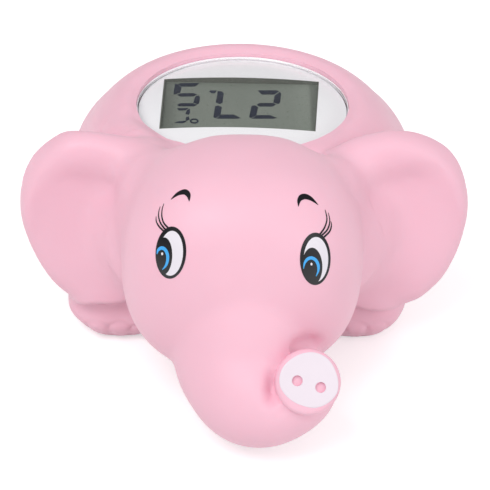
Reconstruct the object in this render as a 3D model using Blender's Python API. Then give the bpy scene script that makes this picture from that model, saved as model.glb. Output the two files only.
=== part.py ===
"""Floating bath thermometer: a hollow soft-vinyl elephant with a round electronic pod in its back.

Metres, +Z up. X runs across the ears, -Y is the trunk side, and the feet stand on Z = 0.
The pod's pieces share the pod's own axis, which leans back with the display.
"""
import bisect
import math

import bmesh
import bpy
from mathutils import Matrix, Vector

MM = 0.001

# Fits
CLEAR = 0.3 * MM           # gap between two faces that seat on each other
RUN = 0.3 * MM             # radial play round a shank, a neck or a disc

# Vinyl skin: walls and openings
SKIN_WALL = 2.2 * MM
RIM_ROUND = 2.0 * MM       # half thickness of the soft rim round the display
RIM_PROUD = 1.8 * MM       # how far the rim stands above the lens edge
SLEEVE_WALL = 2.0 * MM     # vinyl round the pod, below the rim

# Skin: body, head, feet
PANEL_CENTRE = Vector((-0.4, 20.9, 41.0)) * MM
PANEL_TILT = math.radians(5)
BODY_OFFSET = Vector((0.2, -3.3, -17.0)) * MM    # from the panel centre, in the pod's axes
BODY_RADII = Vector((37.8, 41.0, 20.2)) * MM
BODY_FULLNESS = 2.4
HEAD_CENTRE = Vector((-1.0, -22.0, 32.6)) * MM
HEAD_RADII = Vector((25.3, 21.5, 24.6)) * MM
HEAD_FULLNESS = 2.5
HEAD_SETBACK = 0.6 * MM    # from the rim's outer edge to the back of the head
FOOT_RADII = Vector((11.0, 10.5, 11.0)) * MM
FOOT_RISE = 10.0 * MM
FOOT_FULLNESS = 2.6
FRONT_FOOT = Vector((25.5, -1.5)) * MM
REAR_FOOT = Vector((23.5, 38.0)) * MM
STANCE_SHIFT = -1.2 * MM   # the feet stand a little to one side of the ears' middle

# Skin: trunk, as balls along a smooth line (x, y, z, radius)
TRUNK_LINE = [
    (-0.8, -30.0, 34.0, 13.0), (-0.6, -32.0, 28.5, 13.8), (-0.6, -34.0, 22.8, 15.0),
    (-0.6, -36.6, 18.0, 14.8), (-0.3, -40.0, 15.9, 13.5), (1.0, -43.7, 14.1, 12.1),
    (3.8, -45.6, 13.9, 11.0), (8.0, -45.8, 14.5, 9.4), (11.0, -45.8, 15.6, 7.8), (12.6, -46.0, 16.9, 6.3)]
SNOUT_CENTRE = Vector((13.0, -52.6, 22.5)) * MM
SNOUT_FACE = Vector((0.10, -0.78, 0.62))
SNOUT_RADIUS = 6.8 * MM
SNOUT_DEPTH = 9.0 * MM
SNOUT_EDGE = 0.9 * MM      # rounding of the snout's rim
NOSTRIL_RADIUS = 1.25 * MM
NOSTRIL_DEPTH = 0.6 * MM
NOSTRIL_SPACING = 5.0 * MM
NOSTRIL_ROLL = math.radians(-16)

# Skin: ears, as an outline round each ear's middle (outward, upward)
EAR_OUTLINE = [
    (19.6, 2.0), (18.6, 9.5), (15.4, 15.0), (9.5, 18.9), (2.5, 20.3), (-6.0, 19.0),
    (-15.0, 13.0), (-18.0, 1.0), (-15.0, -13.0), (-4.0, -19.8), (5.0, -20.3),
    (11.6, -17.0), (16.1, -10.8), (18.7, -4.0)]
EAR_CENTRE = Vector((28.8, -4.0, 29.0)) * MM
EAR_LEAN = math.radians(12)
EAR_SWEEP = math.radians(8)
EAR_TWIST = math.radians(4.0)     # both ears lean a little the same way
EAR_HALF = 4.0 * MM
EAR_DISH = 3.6 * MM
EAR_LOBE = 1.4 * MM
ROLL_LINE = [
    (-12.0, 9.5, 5.0), (-5.5, 13.6, 4.8), (2.0, 15.6, 4.3), (8.5, 14.7, 3.8),
    (13.2, 11.0, 3.2), (15.9, 5.8, 2.7), (16.9, 0.5, 2.1)]
ROLL_FORWARD = 1.6 * MM

# Skin: tail down the back, in the pod's axes
TAIL_LINE = [
    (0.0, 26.4, -1.0, 1.6), (0.0, 29.8, -3.4, 1.9), (0.0, 33.2, -6.4, 1.9), (0.0, 36.4, -10.5, 1.8),
    (0.3, 38.2, -15.0, 1.6), (0.9, 38.7, -19.0, 1.5), (1.2, 38.5, -22.0, 2.3), (1.4, 37.8, -25.0, 1.3)]

# Display stack, from the lens edge downward
WINDOW = Vector((34.4, 21.4)) * MM
WINDOW_OFFSET = Vector((-0.3, 1.2)) * MM
WINDOW_MARGIN = 1.64 * MM  # from the window's outermost corner to the lens edge
LENS_THICK = 1.4 * MM
LENS_RISE = 1.3 * MM
FILM_THICK = 0.3 * MM
COLLAR_HEIGHT = 0.8 * MM
PLATE_THICK = 2.0 * MM
LCD_BORDER = 0.5 * MM      # glass beyond the window
LCD_THICK = 2.2 * MM
FRAME_HEIGHT = 2.2 * MM
FRAME_BAR = 2.2 * MM
STRIP_WIDTH = 2.0 * MM
STRIP_INSET = 1.6 * MM     # ends of the strip and the frame inside the glass

# Pod housing
CASE_LEDGE = 2.4 * MM      # case beyond the lens
CASE_WALL = 1.5 * MM
UPPER_DEPTH = 17.2 * MM    # from the collar's top to the upper case's lower edge
GASKET_THICK = 0.8 * MM
GASKET_WIDTH = 1.0 * MM
POD_DEPTH = 37.2 * MM      # from the lens edge to the face of the neck
NECK_MARGIN = 0.4 * MM     # round the sensor's flange
NECK_DROP = 2.5 * MM
FLOOR_THICK = 1.6 * MM
BOSS_SPREAD = math.radians(25)
BOSS_RADIUS = 2.5 * MM
CASE_SHANK = 0.9 * MM
CASE_HEAD = 1.8 * MM
HEAD_HEIGHT = 1.4 * MM
CASE_BITE = 4.0 * MM       # thread length in the upper boss
HEAD_SINK = 2.4 * MM

# Board
BOARD_PLAY = 1.1 * MM      # board inside the case's wall
BOARD_THICK = 1.2 * MM
POST_RADIUS = 1.7 * MM
POST_INSET = 1.8 * MM      # from the board's edge to a post's middle
BOARD_SHANK = 0.7 * MM
BOARD_HEAD = 1.5 * MM
BOARD_BITE = 2.0 * MM
CHIP_RADIUS = 4.5 * MM
CHIP_HEIGHT = 1.6 * MM
CRYSTAL_RADIUS = 1.5 * MM
CRYSTAL_LENGTH = 6.5 * MM
CRYSTAL_AT = Vector((9.5, -1.0)) * MM
CAPACITOR = Vector((2.0, 1.25, 0.9)) * MM
CAPACITOR_AT = Vector((-9.0, -3.0)) * MM
CAPACITOR_PITCH = 3.0 * MM

# Battery bay
CELL_RADIUS = 10.0 * MM
CELL_THICK = 3.2 * MM
WELL_PLAY = 1.0 * MM
WELL_WALL = 1.4 * MM
LEAF_THICK = 0.4 * MM
DOOR_THICK = 1.5 * MM
DOOR_LAP = 1.3 * MM        # door beyond the well's mouth
LUG_RADIUS = 2.6 * MM
DOOR_SHANK = 0.8 * MM
DOOR_HEAD = 1.6 * MM
DOOR_HEAD_HEIGHT = 0.7 * MM
DOOR_BITE = 2.0 * MM
SEAL_THICK = 0.4 * MM
SEAL_WIDTH = 0.7 * MM
STEM_RADIUS = 0.8 * MM
STEM_PROUD = 1.2 * MM
PLUS_WIDTH = 4.0 * MM
PLUS_NECK = 1.2 * MM

# Sensor and water contacts, on one circle in the neck
SENSOR_RADIUS = 1.7 * MM
SENSOR_WALL = 0.4 * MM
SENSOR_PROUD = 1.2 * MM
SENSOR_FLANGE = 2.2 * MM
BEAD_RADIUS = 0.8 * MM
LEAD_RADIUS = 0.22 * MM
LEAD_SPREAD = 0.45 * MM
STUD_ANGLE = math.radians(42)
STUD_SHANK = 1.1 * MM
STUD_HEAD = 2.0 * MM
STUD_HEAD_HEIGHT = 0.6 * MM
STUD_RISE = 2.0 * MM       # shank above the floor of the lower case
WASHER_THICK = 0.6 * MM
WASHER_RADIUS = 2.1 * MM
WIRE_RADIUS = 0.45 * MM
WIRE_RISE = 3.0 * MM       # straight run at a wire's ends
WIRE_SWAY = 2.0 * MM       # slack to one side

# Fineness
SKIN_VOXEL = 1.15 * MM
SKIN_FACES = 3400
CAVITY_VOXEL = 1.7 * MM
CAVITY_FACES = 760
ROUND = 36                 # sides of the large turned pieces
MIDDLING = 14              # sides of bosses
SMALL = 12                 # sides of pins and screws
CUT_PHASE = 0.23           # share of a side by which a round cutter is turned

# Widths worked out from the sizes above
LENS_RADIUS = WINDOW_MARGIN + math.hypot(
    WINDOW.x / 2 + abs(WINDOW_OFFSET.x), WINDOW.y / 2 + abs(WINDOW_OFFSET.y))
LCD_SIZE = WINDOW + 2 * Vector((LCD_BORDER, LCD_BORDER))
CASE_RADIUS = LENS_RADIUS + CASE_LEDGE
BOARD_RADIUS = CASE_RADIUS - CASE_WALL - BOARD_PLAY
BOSS_CIRCLE = CASE_RADIUS - CASE_WALL - BOSS_RADIUS - 2 * CLEAR
POST_CIRCLE = BOARD_RADIUS - POST_INSET
WELL_RADIUS = CELL_RADIUS + WELL_PLAY
DOOR_RADIUS = WELL_RADIUS + DOOR_LAP
LUG_CIRCLE = WELL_RADIUS + LUG_RADIUS
NECK_RADIUS = WELL_RADIUS + WELL_WALL + 2 * (SENSOR_FLANGE + NECK_MARGIN)
SENSOR_CIRCLE = (WELL_RADIUS + WELL_WALL + NECK_RADIUS) / 2
BORE_RADIUS = LENS_RADIUS + RUN
RIM_RADIUS = BORE_RADIUS + RIM_ROUND
SLEEVE_RADIUS = CASE_RADIUS + RUN

# Levels along the pod's axis, worked out from the sizes above
FILM_TOP = -LENS_THICK - CLEAR
FILM_BOTTOM = FILM_TOP - FILM_THICK
PLATE_TOP = FILM_BOTTOM - CLEAR
SHOULDER = PLATE_TOP - COLLAR_HEIGHT
PLATE_BOTTOM = PLATE_TOP - PLATE_THICK
LCD_TOP = PLATE_TOP
LCD_BOTTOM = LCD_TOP - LCD_THICK
FRAME_TOP = LCD_BOTTOM - CLEAR
FRAME_BOTTOM = FRAME_TOP - FRAME_HEIGHT
BOARD_TOP = FRAME_BOTTOM - CLEAR
BOARD_BOTTOM = BOARD_TOP - BOARD_THICK
UNDER_BOARD = BOARD_BOTTOM - CLEAR
UPPER_EDGE = PLATE_TOP - UPPER_DEPTH
GASKET_TOP = UPPER_EDGE - CLEAR
GASKET_BOTTOM = GASKET_TOP - GASKET_THICK
LOWER_EDGE = GASKET_BOTTOM - CLEAR
BASE = -POD_DEPTH
FLOOR_BOTTOM = BASE + NECK_DROP
FLOOR_TOP = FLOOR_BOTTOM + FLOOR_THICK
DOOR_TOP = BASE + DOOR_THICK
SEAL_BOTTOM = DOOR_TOP + CLEAR
SEAL_TOP = SEAL_BOTTOM + SEAL_THICK
RECESS_TOP = SEAL_TOP + CLEAR
CELL_BOTTOM = DOOR_TOP + CLEAR
CELL_TOP = CELL_BOTTOM + CELL_THICK
LEAF_BOTTOM = CELL_TOP + CLEAR
LEAF_TOP = LEAF_BOTTOM + LEAF_THICK
WELL_TOP = LEAF_TOP + CLEAR
ROOF_TOP = WELL_TOP + WELL_WALL
STEM_TOP = ROOF_TOP + STEM_PROUD
STUD_TOP = FLOOR_TOP + STUD_RISE
WIRE_HALFWAY = (FLOOR_TOP + UNDER_BOARD) / 2

BOSS_ANGLES = [base + sign * BOSS_SPREAD for base in (math.pi / 2, -math.pi / 2) for sign in (1, -1)]
POSTS = [Vector((POST_CIRCLE, 0.0)), Vector((-POST_CIRCLE, 0.0)), Vector((0.0, POST_CIRCLE))]

PINK = (0.90, 0.57, 0.66)
POD_AXES = Matrix.Translation(PANEL_CENTRE) @ Matrix.Rotation(-PANEL_TILT, 4, "X")


# Helpers: objects and materials

def clear_scene():
    for old in list(bpy.data.objects):
        bpy.data.objects.remove(old)


def material(name, colour, roughness, metallic=0.0):
    made = bpy.data.materials.new(name)
    made.use_nodes = True
    shader = made.node_tree.nodes["Principled BSDF"]
    shader.inputs["Base Color"].default_value = (*colour, 1.0)
    shader.inputs["Roughness"].default_value = roughness
    shader.inputs["Metallic"].default_value = metallic
    return made


def add_object(name, bm, parent, surface=None, smooth=True):
    bmesh.ops.recalc_face_normals(bm, faces=bm.faces)
    mesh = bpy.data.meshes.new(name)
    bm.to_mesh(mesh)
    bm.free()
    if smooth:
        mesh.shade_smooth()
        mesh.set_sharp_from_angle(angle=math.radians(35))
    thing = bpy.data.objects.new(name, mesh)
    bpy.context.scene.collection.objects.link(thing)
    thing.parent = parent
    if surface:
        mesh.materials.append(surface)
    return thing


def add_cutter(name, bm, parent):
    cutter = add_object(name, bm, parent, smooth=False)
    cutter.hide_render = True
    cutter.display_type = "WIRE"
    return cutter


def combine(thing, operand, operation):
    step = thing.modifiers.new(operation.title(), "BOOLEAN")
    step.operation = operation
    step.solver = "EXACT"
    step.object = operand


# Helpers: pod pieces

def lathe(bm, profile, steps, at=(0.0, 0.0), phase=0.5):
    """Turn a closed (radius, height) profile about an axis through the point at."""
    rings = []
    for radius, height in profile:
        if radius < 1e-7:
            rings.append([bm.verts.new((at[0], at[1], height))])
            continue
        ring = []
        for k in range(steps):
            turn = math.tau * (k + phase) / steps
            ring.append(bm.verts.new((at[0] + radius * math.cos(turn), at[1] + radius * math.sin(turn), height)))
        rings.append(ring)
    for first, second in zip(rings, rings[1:] + rings[:1]):
        if len(first) == 1 and len(second) == 1:
            continue
        for k in range(steps):
            follow = (k + 1) % steps
            corners = [first[k % len(first)], second[k % len(second)]]
            corners += [second[follow % len(second)], first[follow % len(first)]]
            bm.faces.new(list(dict.fromkeys(corners)))
    return [vert for ring in rings for vert in ring]


def ball(bm, segments, rings, radius=1.0):
    """A ball about the origin, and the vertices it is made of."""
    profile = []
    for k in range(rings + 1):
        swing = math.pi * k / rings
        profile.append((radius * abs(math.sin(swing)) if 0 < k < rings else 0.0, radius * math.cos(swing)))
    return lathe(bm, profile, segments)


def rod(bm, radius, low, high, at=(0.0, 0.0), steps=SMALL, phase=0.5):
    lathe(bm, [(0.0, high), (radius, high), (radius, low), (0.0, low)], steps, at, phase)


def drill(bm, radius, low, high, at=(0.0, 0.0), steps=SMALL):
    """A round cutter whose corners don't line up with those of the piece it enters."""
    rod(bm, radius, low, high, at, steps, CUT_PHASE)


def washer(bm, inner, outer, low, high, at=(0.0, 0.0), steps=SMALL):
    lathe(bm, [(inner, high), (outer, high), (outer, low), (inner, low)], steps, at)


def slab(bm, size, centre):
    placed = Matrix.Translation(centre) @ Matrix.Diagonal((*size, 1.0))
    bmesh.ops.create_cube(bm, size=1.0, matrix=placed)


def prism(bm, outline, low, high):
    bottom = [bm.verts.new((x, y, low)) for x, y in outline]
    top = [bm.verts.new((x, y, high)) for x, y in outline]
    bm.faces.new(bottom)
    bm.faces.new(top)
    for k in range(len(outline)):
        follow = (k + 1) % len(outline)
        bm.faces.new((bottom[k], bottom[follow], top[follow], top[k]))


def polar(radius, turn):
    return Vector((radius * math.cos(turn), radius * math.sin(turn)))


def lugged_disc(radius, lug_radius, lug_circle, steps=ROUND):
    """Outline of a disc with a round lug at either side."""
    outline = []
    for k in range(steps):
        turn = math.tau * (k + 0.5) / steps
        reach = radius
        offset = lug_circle * abs(math.sin(turn))
        if offset < lug_radius:
            reach = max(reach, lug_circle * abs(math.cos(turn)) + math.sqrt(lug_radius ** 2 - offset ** 2))
        outline.append(polar(reach, turn))
    return outline


def wire(name, points, radius, parent, surface):
    """A whole wire: a smooth curve through the points, with filled ends."""
    curve = bpy.data.curves.new(name, "CURVE")
    curve.dimensions = "3D"
    curve.bevel_depth = radius
    curve.bevel_resolution = 1
    curve.use_fill_caps = True
    line = curve.splines.new("POLY")
    route = smooth_path([(*p, 0.0) for p in points], 3)
    line.points.add(len(route) - 1)
    for spot, (place, _) in zip(line.points, route):
        spot.co = (*place, 1.0)
    thing = bpy.data.objects.new(name, curve)
    bpy.context.scene.collection.objects.link(thing)
    thing.parent = parent
    curve.materials.append(surface)
    return thing


# Helpers: the elephant's forms

def superellipsoid(bm, centre, radii, fullness, turn=None, segments=64, rings=40):
    """A ball whose sides are fuller than an ellipsoid's, and the vertices it is made of."""
    verts = ball(bm, segments, rings)
    power = 2.0 / fullness
    for vert in verts:
        x, y, z = vert.co
        flat = math.hypot(x, y)
        around = (x / flat, y / flat) if flat > 1e-9 else (0.0, 0.0)
        wide = flat ** power
        local = Vector((
            math.copysign(abs(around[0]) ** power, x) * wide * radii[0],
            math.copysign(abs(around[1]) ** power, y) * wide * radii[1],
            math.copysign(abs(z) ** power, z) * radii[2]))
        vert.co = centre + (turn @ local if turn else local)
    return verts


def smooth_path(points, steps):
    """Places and radii along a smooth curve through (x, y, z, radius) points."""
    path = []
    for k in range(len(points) - 1):
        p0 = Vector(points[max(k - 1, 0)])
        p1 = Vector(points[k])
        p2 = Vector(points[k + 1])
        p3 = Vector(points[min(k + 2, len(points) - 1)])
        for s in range(steps):
            t = s / steps
            spot = 2 * p1 + (p2 - p0) * t + (2 * p0 - 5 * p1 + 4 * p2 - p3) * t ** 2
            spot = 0.5 * (spot + (3 * p1 - p0 - 3 * p2 + p3) * t ** 3)
            path.append((spot.xyz, spot.w))
    last = Vector(points[-1])
    path.append((last.xyz, last.w))
    return path


def ball_chain(bm, points, steps, inset, frame=None):
    for place, radius in smooth_path(points, steps):
        centre = frame @ place if frame else place
        for vert in ball(bm, 28, 18, max(radius - inset, 0.3 * MM)):
            vert.co += centre


def in_mm(points):
    return [tuple(value * MM for value in point) for point in points]


def polar_outline(points, samples=720):
    """Angle and distance pairs of a smooth closed outline, sorted by angle."""
    table = []
    count = len(points)
    for k in range(samples):
        place = k * count / samples
        start = int(place)
        t = place - start
        p0, p1, p2, p3 = [Vector(points[(start + step) % count]) for step in (-1, 0, 1, 2)]
        spot = 2 * p1 + (p2 - p0) * t + (2 * p0 - 5 * p1 + 4 * p2 - p3) * t ** 2
        spot = 0.5 * (spot + (3 * p1 - p0 - 3 * p2 + p3) * t ** 3)
        table.append((math.atan2(spot.y, spot.x), spot.length))
    return sorted(table)


def reach_at(table, turn):
    place = bisect.bisect(table, (turn, 0.0)) % len(table)
    (turn_a, reach_a), (turn_b, reach_b) = table[place - 1], table[place]
    span = (turn_b - turn_a) % math.tau
    share = ((turn - turn_a) % math.tau) / span if span > 1e-9 else 0.0
    return reach_a + (reach_b - reach_a) * min(share, 1.0)


def ear_frame(side):
    across = Vector((side * math.cos(EAR_SWEEP), math.sin(EAR_SWEEP), 0.0))
    upward = Vector((0.0, math.sin(EAR_LEAN), math.cos(EAR_LEAN)))
    forward = across.cross(upward) * side
    forward.normalize()
    upward = forward.cross(across) * side
    frame = Matrix((across, upward, forward)).transposed().to_4x4()
    middle = Vector((side * EAR_CENTRE.x, EAR_CENTRE.y, EAR_CENTRE.z))
    return Matrix.Translation(middle) @ frame @ Matrix.Rotation(side * EAR_TWIST, 4, "Z")


def ear(bm, side, inset):
    """A thick blade with a rolled upper edge, a dished middle and a full lower lobe."""
    frame = ear_frame(side)
    table = polar_outline(EAR_OUTLINE)
    for vert in ball(bm, 96, 48):
        x, y, z = vert.co
        turn = math.atan2(y, x)
        reach = (reach_at(table, turn) * MM - inset) * math.hypot(x, y) ** 0.8
        u = reach * math.cos(turn)
        w = reach * math.sin(turn)
        lift = math.copysign(abs(z) ** 0.8, z) * max(EAR_HALF - inset, 0.5 * MM)
        if z > 0:
            share = min(z * 2.0, 1.0)
            hollow = math.exp(-((u / MM + 4.0) / 11.0) ** 2 - ((w / MM - 3.0) / 9.5) ** 2)
            lobe = math.exp(-((u / MM - 2.0) / 9.0) ** 2 - ((w / MM + 12.0) / 6.0) ** 2)
            lift += share * (EAR_LOBE * lobe - EAR_DISH * hollow)
        vert.co = frame @ Vector((u, w, lift))
    roll = [(u, w, ROLL_FORWARD / MM, radius) for u, w, radius in ROLL_LINE]
    ball_chain(bm, in_mm(roll), 7, inset, frame)


def head(bm, inset):
    """The head, with its back hollowed to follow the display's rim."""
    radii = HEAD_RADII - Vector((inset, inset, inset))
    verts = superellipsoid(bm, HEAD_CENTRE, radii, HEAD_FULLNESS, segments=96, rings=60)
    limit = RIM_RADIUS + RIM_ROUND + HEAD_SETBACK + inset
    to_pod = POD_AXES.inverted()
    for vert in verts:
        spot = to_pod @ vert.co
        reach = math.hypot(spot.x, spot.y)
        if reach < limit and spot.z > -6 * MM:
            push = limit / reach
            vert.co = POD_AXES @ Vector((spot.x * push, spot.y * push, spot.z))


def foot(bm, place, side, inset):
    centre = Vector((side * place.x + STANCE_SHIFT, place.y, FOOT_RISE))
    radii = FOOT_RADII - Vector((inset, inset, inset))
    superellipsoid(bm, centre, radii, FOOT_FULLNESS, segments=48, rings=28)


def snout_frame():
    outward = SNOUT_FACE.normalized()
    across = Vector((0, 0, 1)).cross(outward).normalized()
    turn = Matrix((across, outward.cross(across), outward)).transposed().to_4x4()
    return Matrix.Translation(SNOUT_CENTRE) @ turn


def forms(rim, inset=0.0):
    """Every form of the elephant as overlapping closed shapes, drawn in by inset."""
    bm = bmesh.new()
    turn = POD_AXES.to_3x3()
    radii = BODY_RADII - Vector((inset, inset, inset))
    superellipsoid(bm, POD_AXES @ BODY_OFFSET, radii, BODY_FULLNESS, turn)
    head(bm, inset)
    ball_chain(bm, in_mm(TRUNK_LINE), 7, inset)
    depth = SNOUT_DEPTH - inset
    radius = SNOUT_RADIUS - SNOUT_EDGE - inset
    bmesh.ops.create_cone(
        bm, cap_ends=True, segments=48, radius1=radius, radius2=radius, depth=depth,
        matrix=snout_frame() @ Matrix.Translation((0, 0, -SNOUT_EDGE - inset - depth / 2)))
    for side in (-1, 1):
        ear(bm, side, inset)
        foot(bm, FRONT_FOOT, side, inset)
        foot(bm, REAR_FOOT, side, inset)
    if rim:
        sleeve = bmesh.new()
        outer = SLEEVE_RADIUS + SLEEVE_WALL
        lathe(sleeve, [
            (0.0, -RIM_ROUND), (outer, -RIM_ROUND), (outer, BASE + SKIN_WALL), (outer - SKIN_WALL, BASE),
            (0.0, BASE)], 96)
        circle = []
        for k in range(24):
            swing = -math.tau * k / 24
            height = RIM_PROUD - RIM_ROUND + RIM_ROUND * math.sin(swing)
            circle.append((RIM_RADIUS + RIM_ROUND * math.cos(swing), height))
        lathe(sleeve, circle, 96)
        bmesh.ops.recalc_face_normals(sleeve, faces=sleeve.faces)
        bmesh.ops.transform(sleeve, matrix=POD_AXES, verts=sleeve.verts)
        joined = bpy.data.meshes.new("sleeve")
        sleeve.to_mesh(joined)
        sleeve.free()
        bm.from_mesh(joined)
        bpy.data.meshes.remove(joined)
        ball_chain(bm, in_mm(TAIL_LINE), 6, inset, POD_AXES)
    return bm


def melt(thing, voxel, rounds, faces):
    """Fuse the overlapping forms into one soft skin with rounded joins."""
    fuse = thing.modifiers.new("Fuse", "REMESH")
    fuse.mode = "VOXEL"
    fuse.voxel_size = voxel
    fuse.use_smooth_shade = True
    soften = thing.modifiers.new("Soften", "SMOOTH")
    soften.factor = 0.5
    soften.iterations = rounds
    bpy.context.view_layer.update()
    count = sum(len(face.vertices) - 2 for face in thing.evaluated_get(
        bpy.context.evaluated_depsgraph_get()).data.polygons)
    reduce = thing.modifiers.new("Reduce", "DECIMATE")
    reduce.ratio = min(1.0, faces / max(count, 1))


# The pieces

def make_skin(root, pod):
    skin = add_object("elephant_skin", forms(True), root, material("pink vinyl", PINK, 0.55), smooth=False)
    melt(skin, SKIN_VOXEL, 12, SKIN_FACES)
    cavity = add_cutter("skin_cavity", forms(False, SKIN_WALL), root)
    melt(cavity, CAVITY_VOXEL, 3, CAVITY_FACES)
    combine(skin, cavity, "DIFFERENCE")
    bm = bmesh.new()
    lathe(bm, [
        (0.0, POD_DEPTH), (BORE_RADIUS, POD_DEPTH), (BORE_RADIUS, SHOULDER + CLEAR),
        (SLEEVE_RADIUS, SHOULDER + CLEAR), (SLEEVE_RADIUS, FLOOR_BOTTOM - CLEAR),
        (NECK_RADIUS + RUN, FLOOR_BOTTOM - CLEAR), (NECK_RADIUS + RUN, 2 * BASE), (0.0, 2 * BASE)], ROUND + 8)
    combine(skin, add_cutter("pod_room", bm, pod), "DIFFERENCE")
    bm = bmesh.new()
    edge = SNOUT_EDGE
    lathe(bm, [
        (0.0, 0.0), (SNOUT_RADIUS - edge, 0.0), (SNOUT_RADIUS - edge * 0.3, -edge * 0.3), (SNOUT_RADIUS, -edge),
        (SNOUT_RADIUS, -SNOUT_DEPTH), (0.0, -SNOUT_DEPTH)], 32)
    bmesh.ops.transform(bm, matrix=snout_frame(), verts=bm.verts)
    combine(skin, add_cutter("snout_end", bm, root), "UNION")
    bm = bmesh.new()
    slab(bm, (0.3, 0.3, 40 * MM), (0.0, 0.0, -20 * MM))
    for side in (-1, 1):
        place = polar(side * NOSTRIL_SPACING / 2, NOSTRIL_ROLL)
        spot = snout_frame() @ Matrix.Translation((place.x, place.y - NOSTRIL_RADIUS / 2, 0))
        bmesh.ops.create_cone(
            bm, cap_ends=True, segments=SMALL, radius1=NOSTRIL_RADIUS * 0.8, radius2=NOSTRIL_RADIUS,
            depth=2 * NOSTRIL_DEPTH, matrix=spot)
    combine(skin, add_cutter("ground_and_nostrils", bm, root), "DIFFERENCE")
    return skin


def centre_on_origin(root, skin):
    """Stand the whole part with the middle of its outline on the origin."""
    bpy.context.view_layer.update()
    dressed = skin.evaluated_get(bpy.context.evaluated_depsgraph_get())
    xs = [corner[0] for corner in dressed.bound_box]
    ys = [corner[1] for corner in dressed.bound_box]
    root.location = (-(min(xs) + max(xs)) / 2, -(min(ys) + max(ys)) / 2, 0.0)
    bpy.context.view_layer.update()


def domed(radius, top, thick, rise, steps=4):
    """Profile of a disc whose two faces rise together toward the middle."""
    outer = []
    inner = []
    for k in range(steps + 1):
        share = k / steps
        crown = rise * (1 - share ** 2)
        outer.append((radius * share, top + crown))
        inner.append((radius * share, top - thick + crown))
    return outer + inner[::-1]


def make_display(pod):
    bm = bmesh.new()
    lathe(bm, domed(LENS_RADIUS, 0.0, LENS_THICK, LENS_RISE), ROUND)
    add_object("display_lens", bm, pod, material("clear lens", (0.95, 0.96, 0.98), 0.05))

    bm = bmesh.new()
    lathe(bm, domed(LENS_RADIUS - RUN, FILM_TOP, FILM_THICK, LENS_RISE), ROUND)
    film = add_object("lens_mask", bm, pod, material("white print", (0.86, 0.87, 0.93), 0.35))
    bm = bmesh.new()
    slab(bm, (WINDOW.x, WINDOW.y, 4 * (LENS_THICK + LENS_RISE)), (*WINDOW_OFFSET, 0.0))
    combine(film, add_cutter("window", bm, pod), "DIFFERENCE")

    bm = bmesh.new()
    slab(bm, (LCD_SIZE.x, LCD_SIZE.y, LCD_THICK), (*WINDOW_OFFSET, LCD_TOP - LCD_THICK / 2))
    add_object("lcd_cell", bm, pod, material("lcd glass", (0.19, 0.22, 0.19), 0.25), smooth=False)

    # the spacer frame carries the glass from below, and the rubber strip joins it to the board
    half_x = LCD_SIZE.x / 2 - STRIP_INSET
    rear = LCD_SIZE.y / 2 - STRIP_INSET
    front = -LCD_SIZE.y / 2 + STRIP_INSET + STRIP_WIDTH + CLEAR
    bm = bmesh.new()
    slab(bm, (2 * half_x, rear - front, FRAME_HEIGHT),
         (WINDOW_OFFSET.x, WINDOW_OFFSET.y + (rear + front) / 2, FRAME_TOP - FRAME_HEIGHT / 2))
    frame = add_object("lcd_frame", bm, pod, material("white moulding", (0.75, 0.75, 0.76), 0.5), smooth=False)
    bm = bmesh.new()
    slab(bm, (2 * half_x - 2 * FRAME_BAR, rear - front - 2 * FRAME_BAR, 3 * FRAME_HEIGHT),
         (WINDOW_OFFSET.x, WINDOW_OFFSET.y + (rear + front) / 2, FRAME_TOP - FRAME_HEIGHT / 2))
    combine(frame, add_cutter("frame_opening", bm, pod), "DIFFERENCE")
    bm = bmesh.new()
    slab(bm, (2 * half_x, STRIP_WIDTH, FRAME_HEIGHT),
         (WINDOW_OFFSET.x, WINDOW_OFFSET.y + front - CLEAR - STRIP_WIDTH / 2, FRAME_TOP - FRAME_HEIGHT / 2))
    add_object("contact_strip", bm, pod, material("conductive rubber", (0.05, 0.05, 0.06), 0.7), smooth=False)


def make_upper_case(pod, shell):
    bm = bmesh.new()
    inner = CASE_RADIUS - CASE_WALL
    lathe(bm, [
        (0.0, PLATE_TOP), (LENS_RADIUS, PLATE_TOP), (LENS_RADIUS, SHOULDER), (CASE_RADIUS, SHOULDER),
        (CASE_RADIUS, UPPER_EDGE), (inner, UPPER_EDGE), (inner, PLATE_BOTTOM), (0.0, PLATE_BOTTOM)], ROUND)
    case = add_object("upper_case", bm, pod, shell)
    bm = bmesh.new()
    root_level = PLATE_BOTTOM + PLATE_THICK / 2
    for turn in BOSS_ANGLES:
        rod(bm, BOSS_RADIUS, UPPER_EDGE, root_level, polar(BOSS_CIRCLE, turn), MIDDLING)
    for place in POSTS:
        rod(bm, POST_RADIUS, BOARD_TOP + CLEAR, root_level, place)
    combine(case, add_cutter("upper_bosses", bm, pod), "UNION")
    bm = bmesh.new()
    for turn in BOSS_ANGLES:
        drill(bm, CASE_SHANK + RUN, UPPER_EDGE - 2 * MM, UPPER_EDGE + CASE_BITE + CLEAR, polar(BOSS_CIRCLE, turn))
    for place in POSTS:
        drill(bm, BOARD_SHANK + RUN, BOARD_TOP - 2 * MM, BOARD_TOP + CLEAR + BOARD_BITE + CLEAR, place)
    combine(case, add_cutter("upper_holes", bm, pod), "DIFFERENCE")
    bm = bmesh.new()
    slab(bm, (LCD_SIZE.x + 2 * RUN, LCD_SIZE.y + 2 * RUN, 3 * PLATE_THICK), (*WINDOW_OFFSET, PLATE_TOP))
    combine(case, add_cutter("lcd_opening", bm, pod), "DIFFERENCE")


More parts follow.
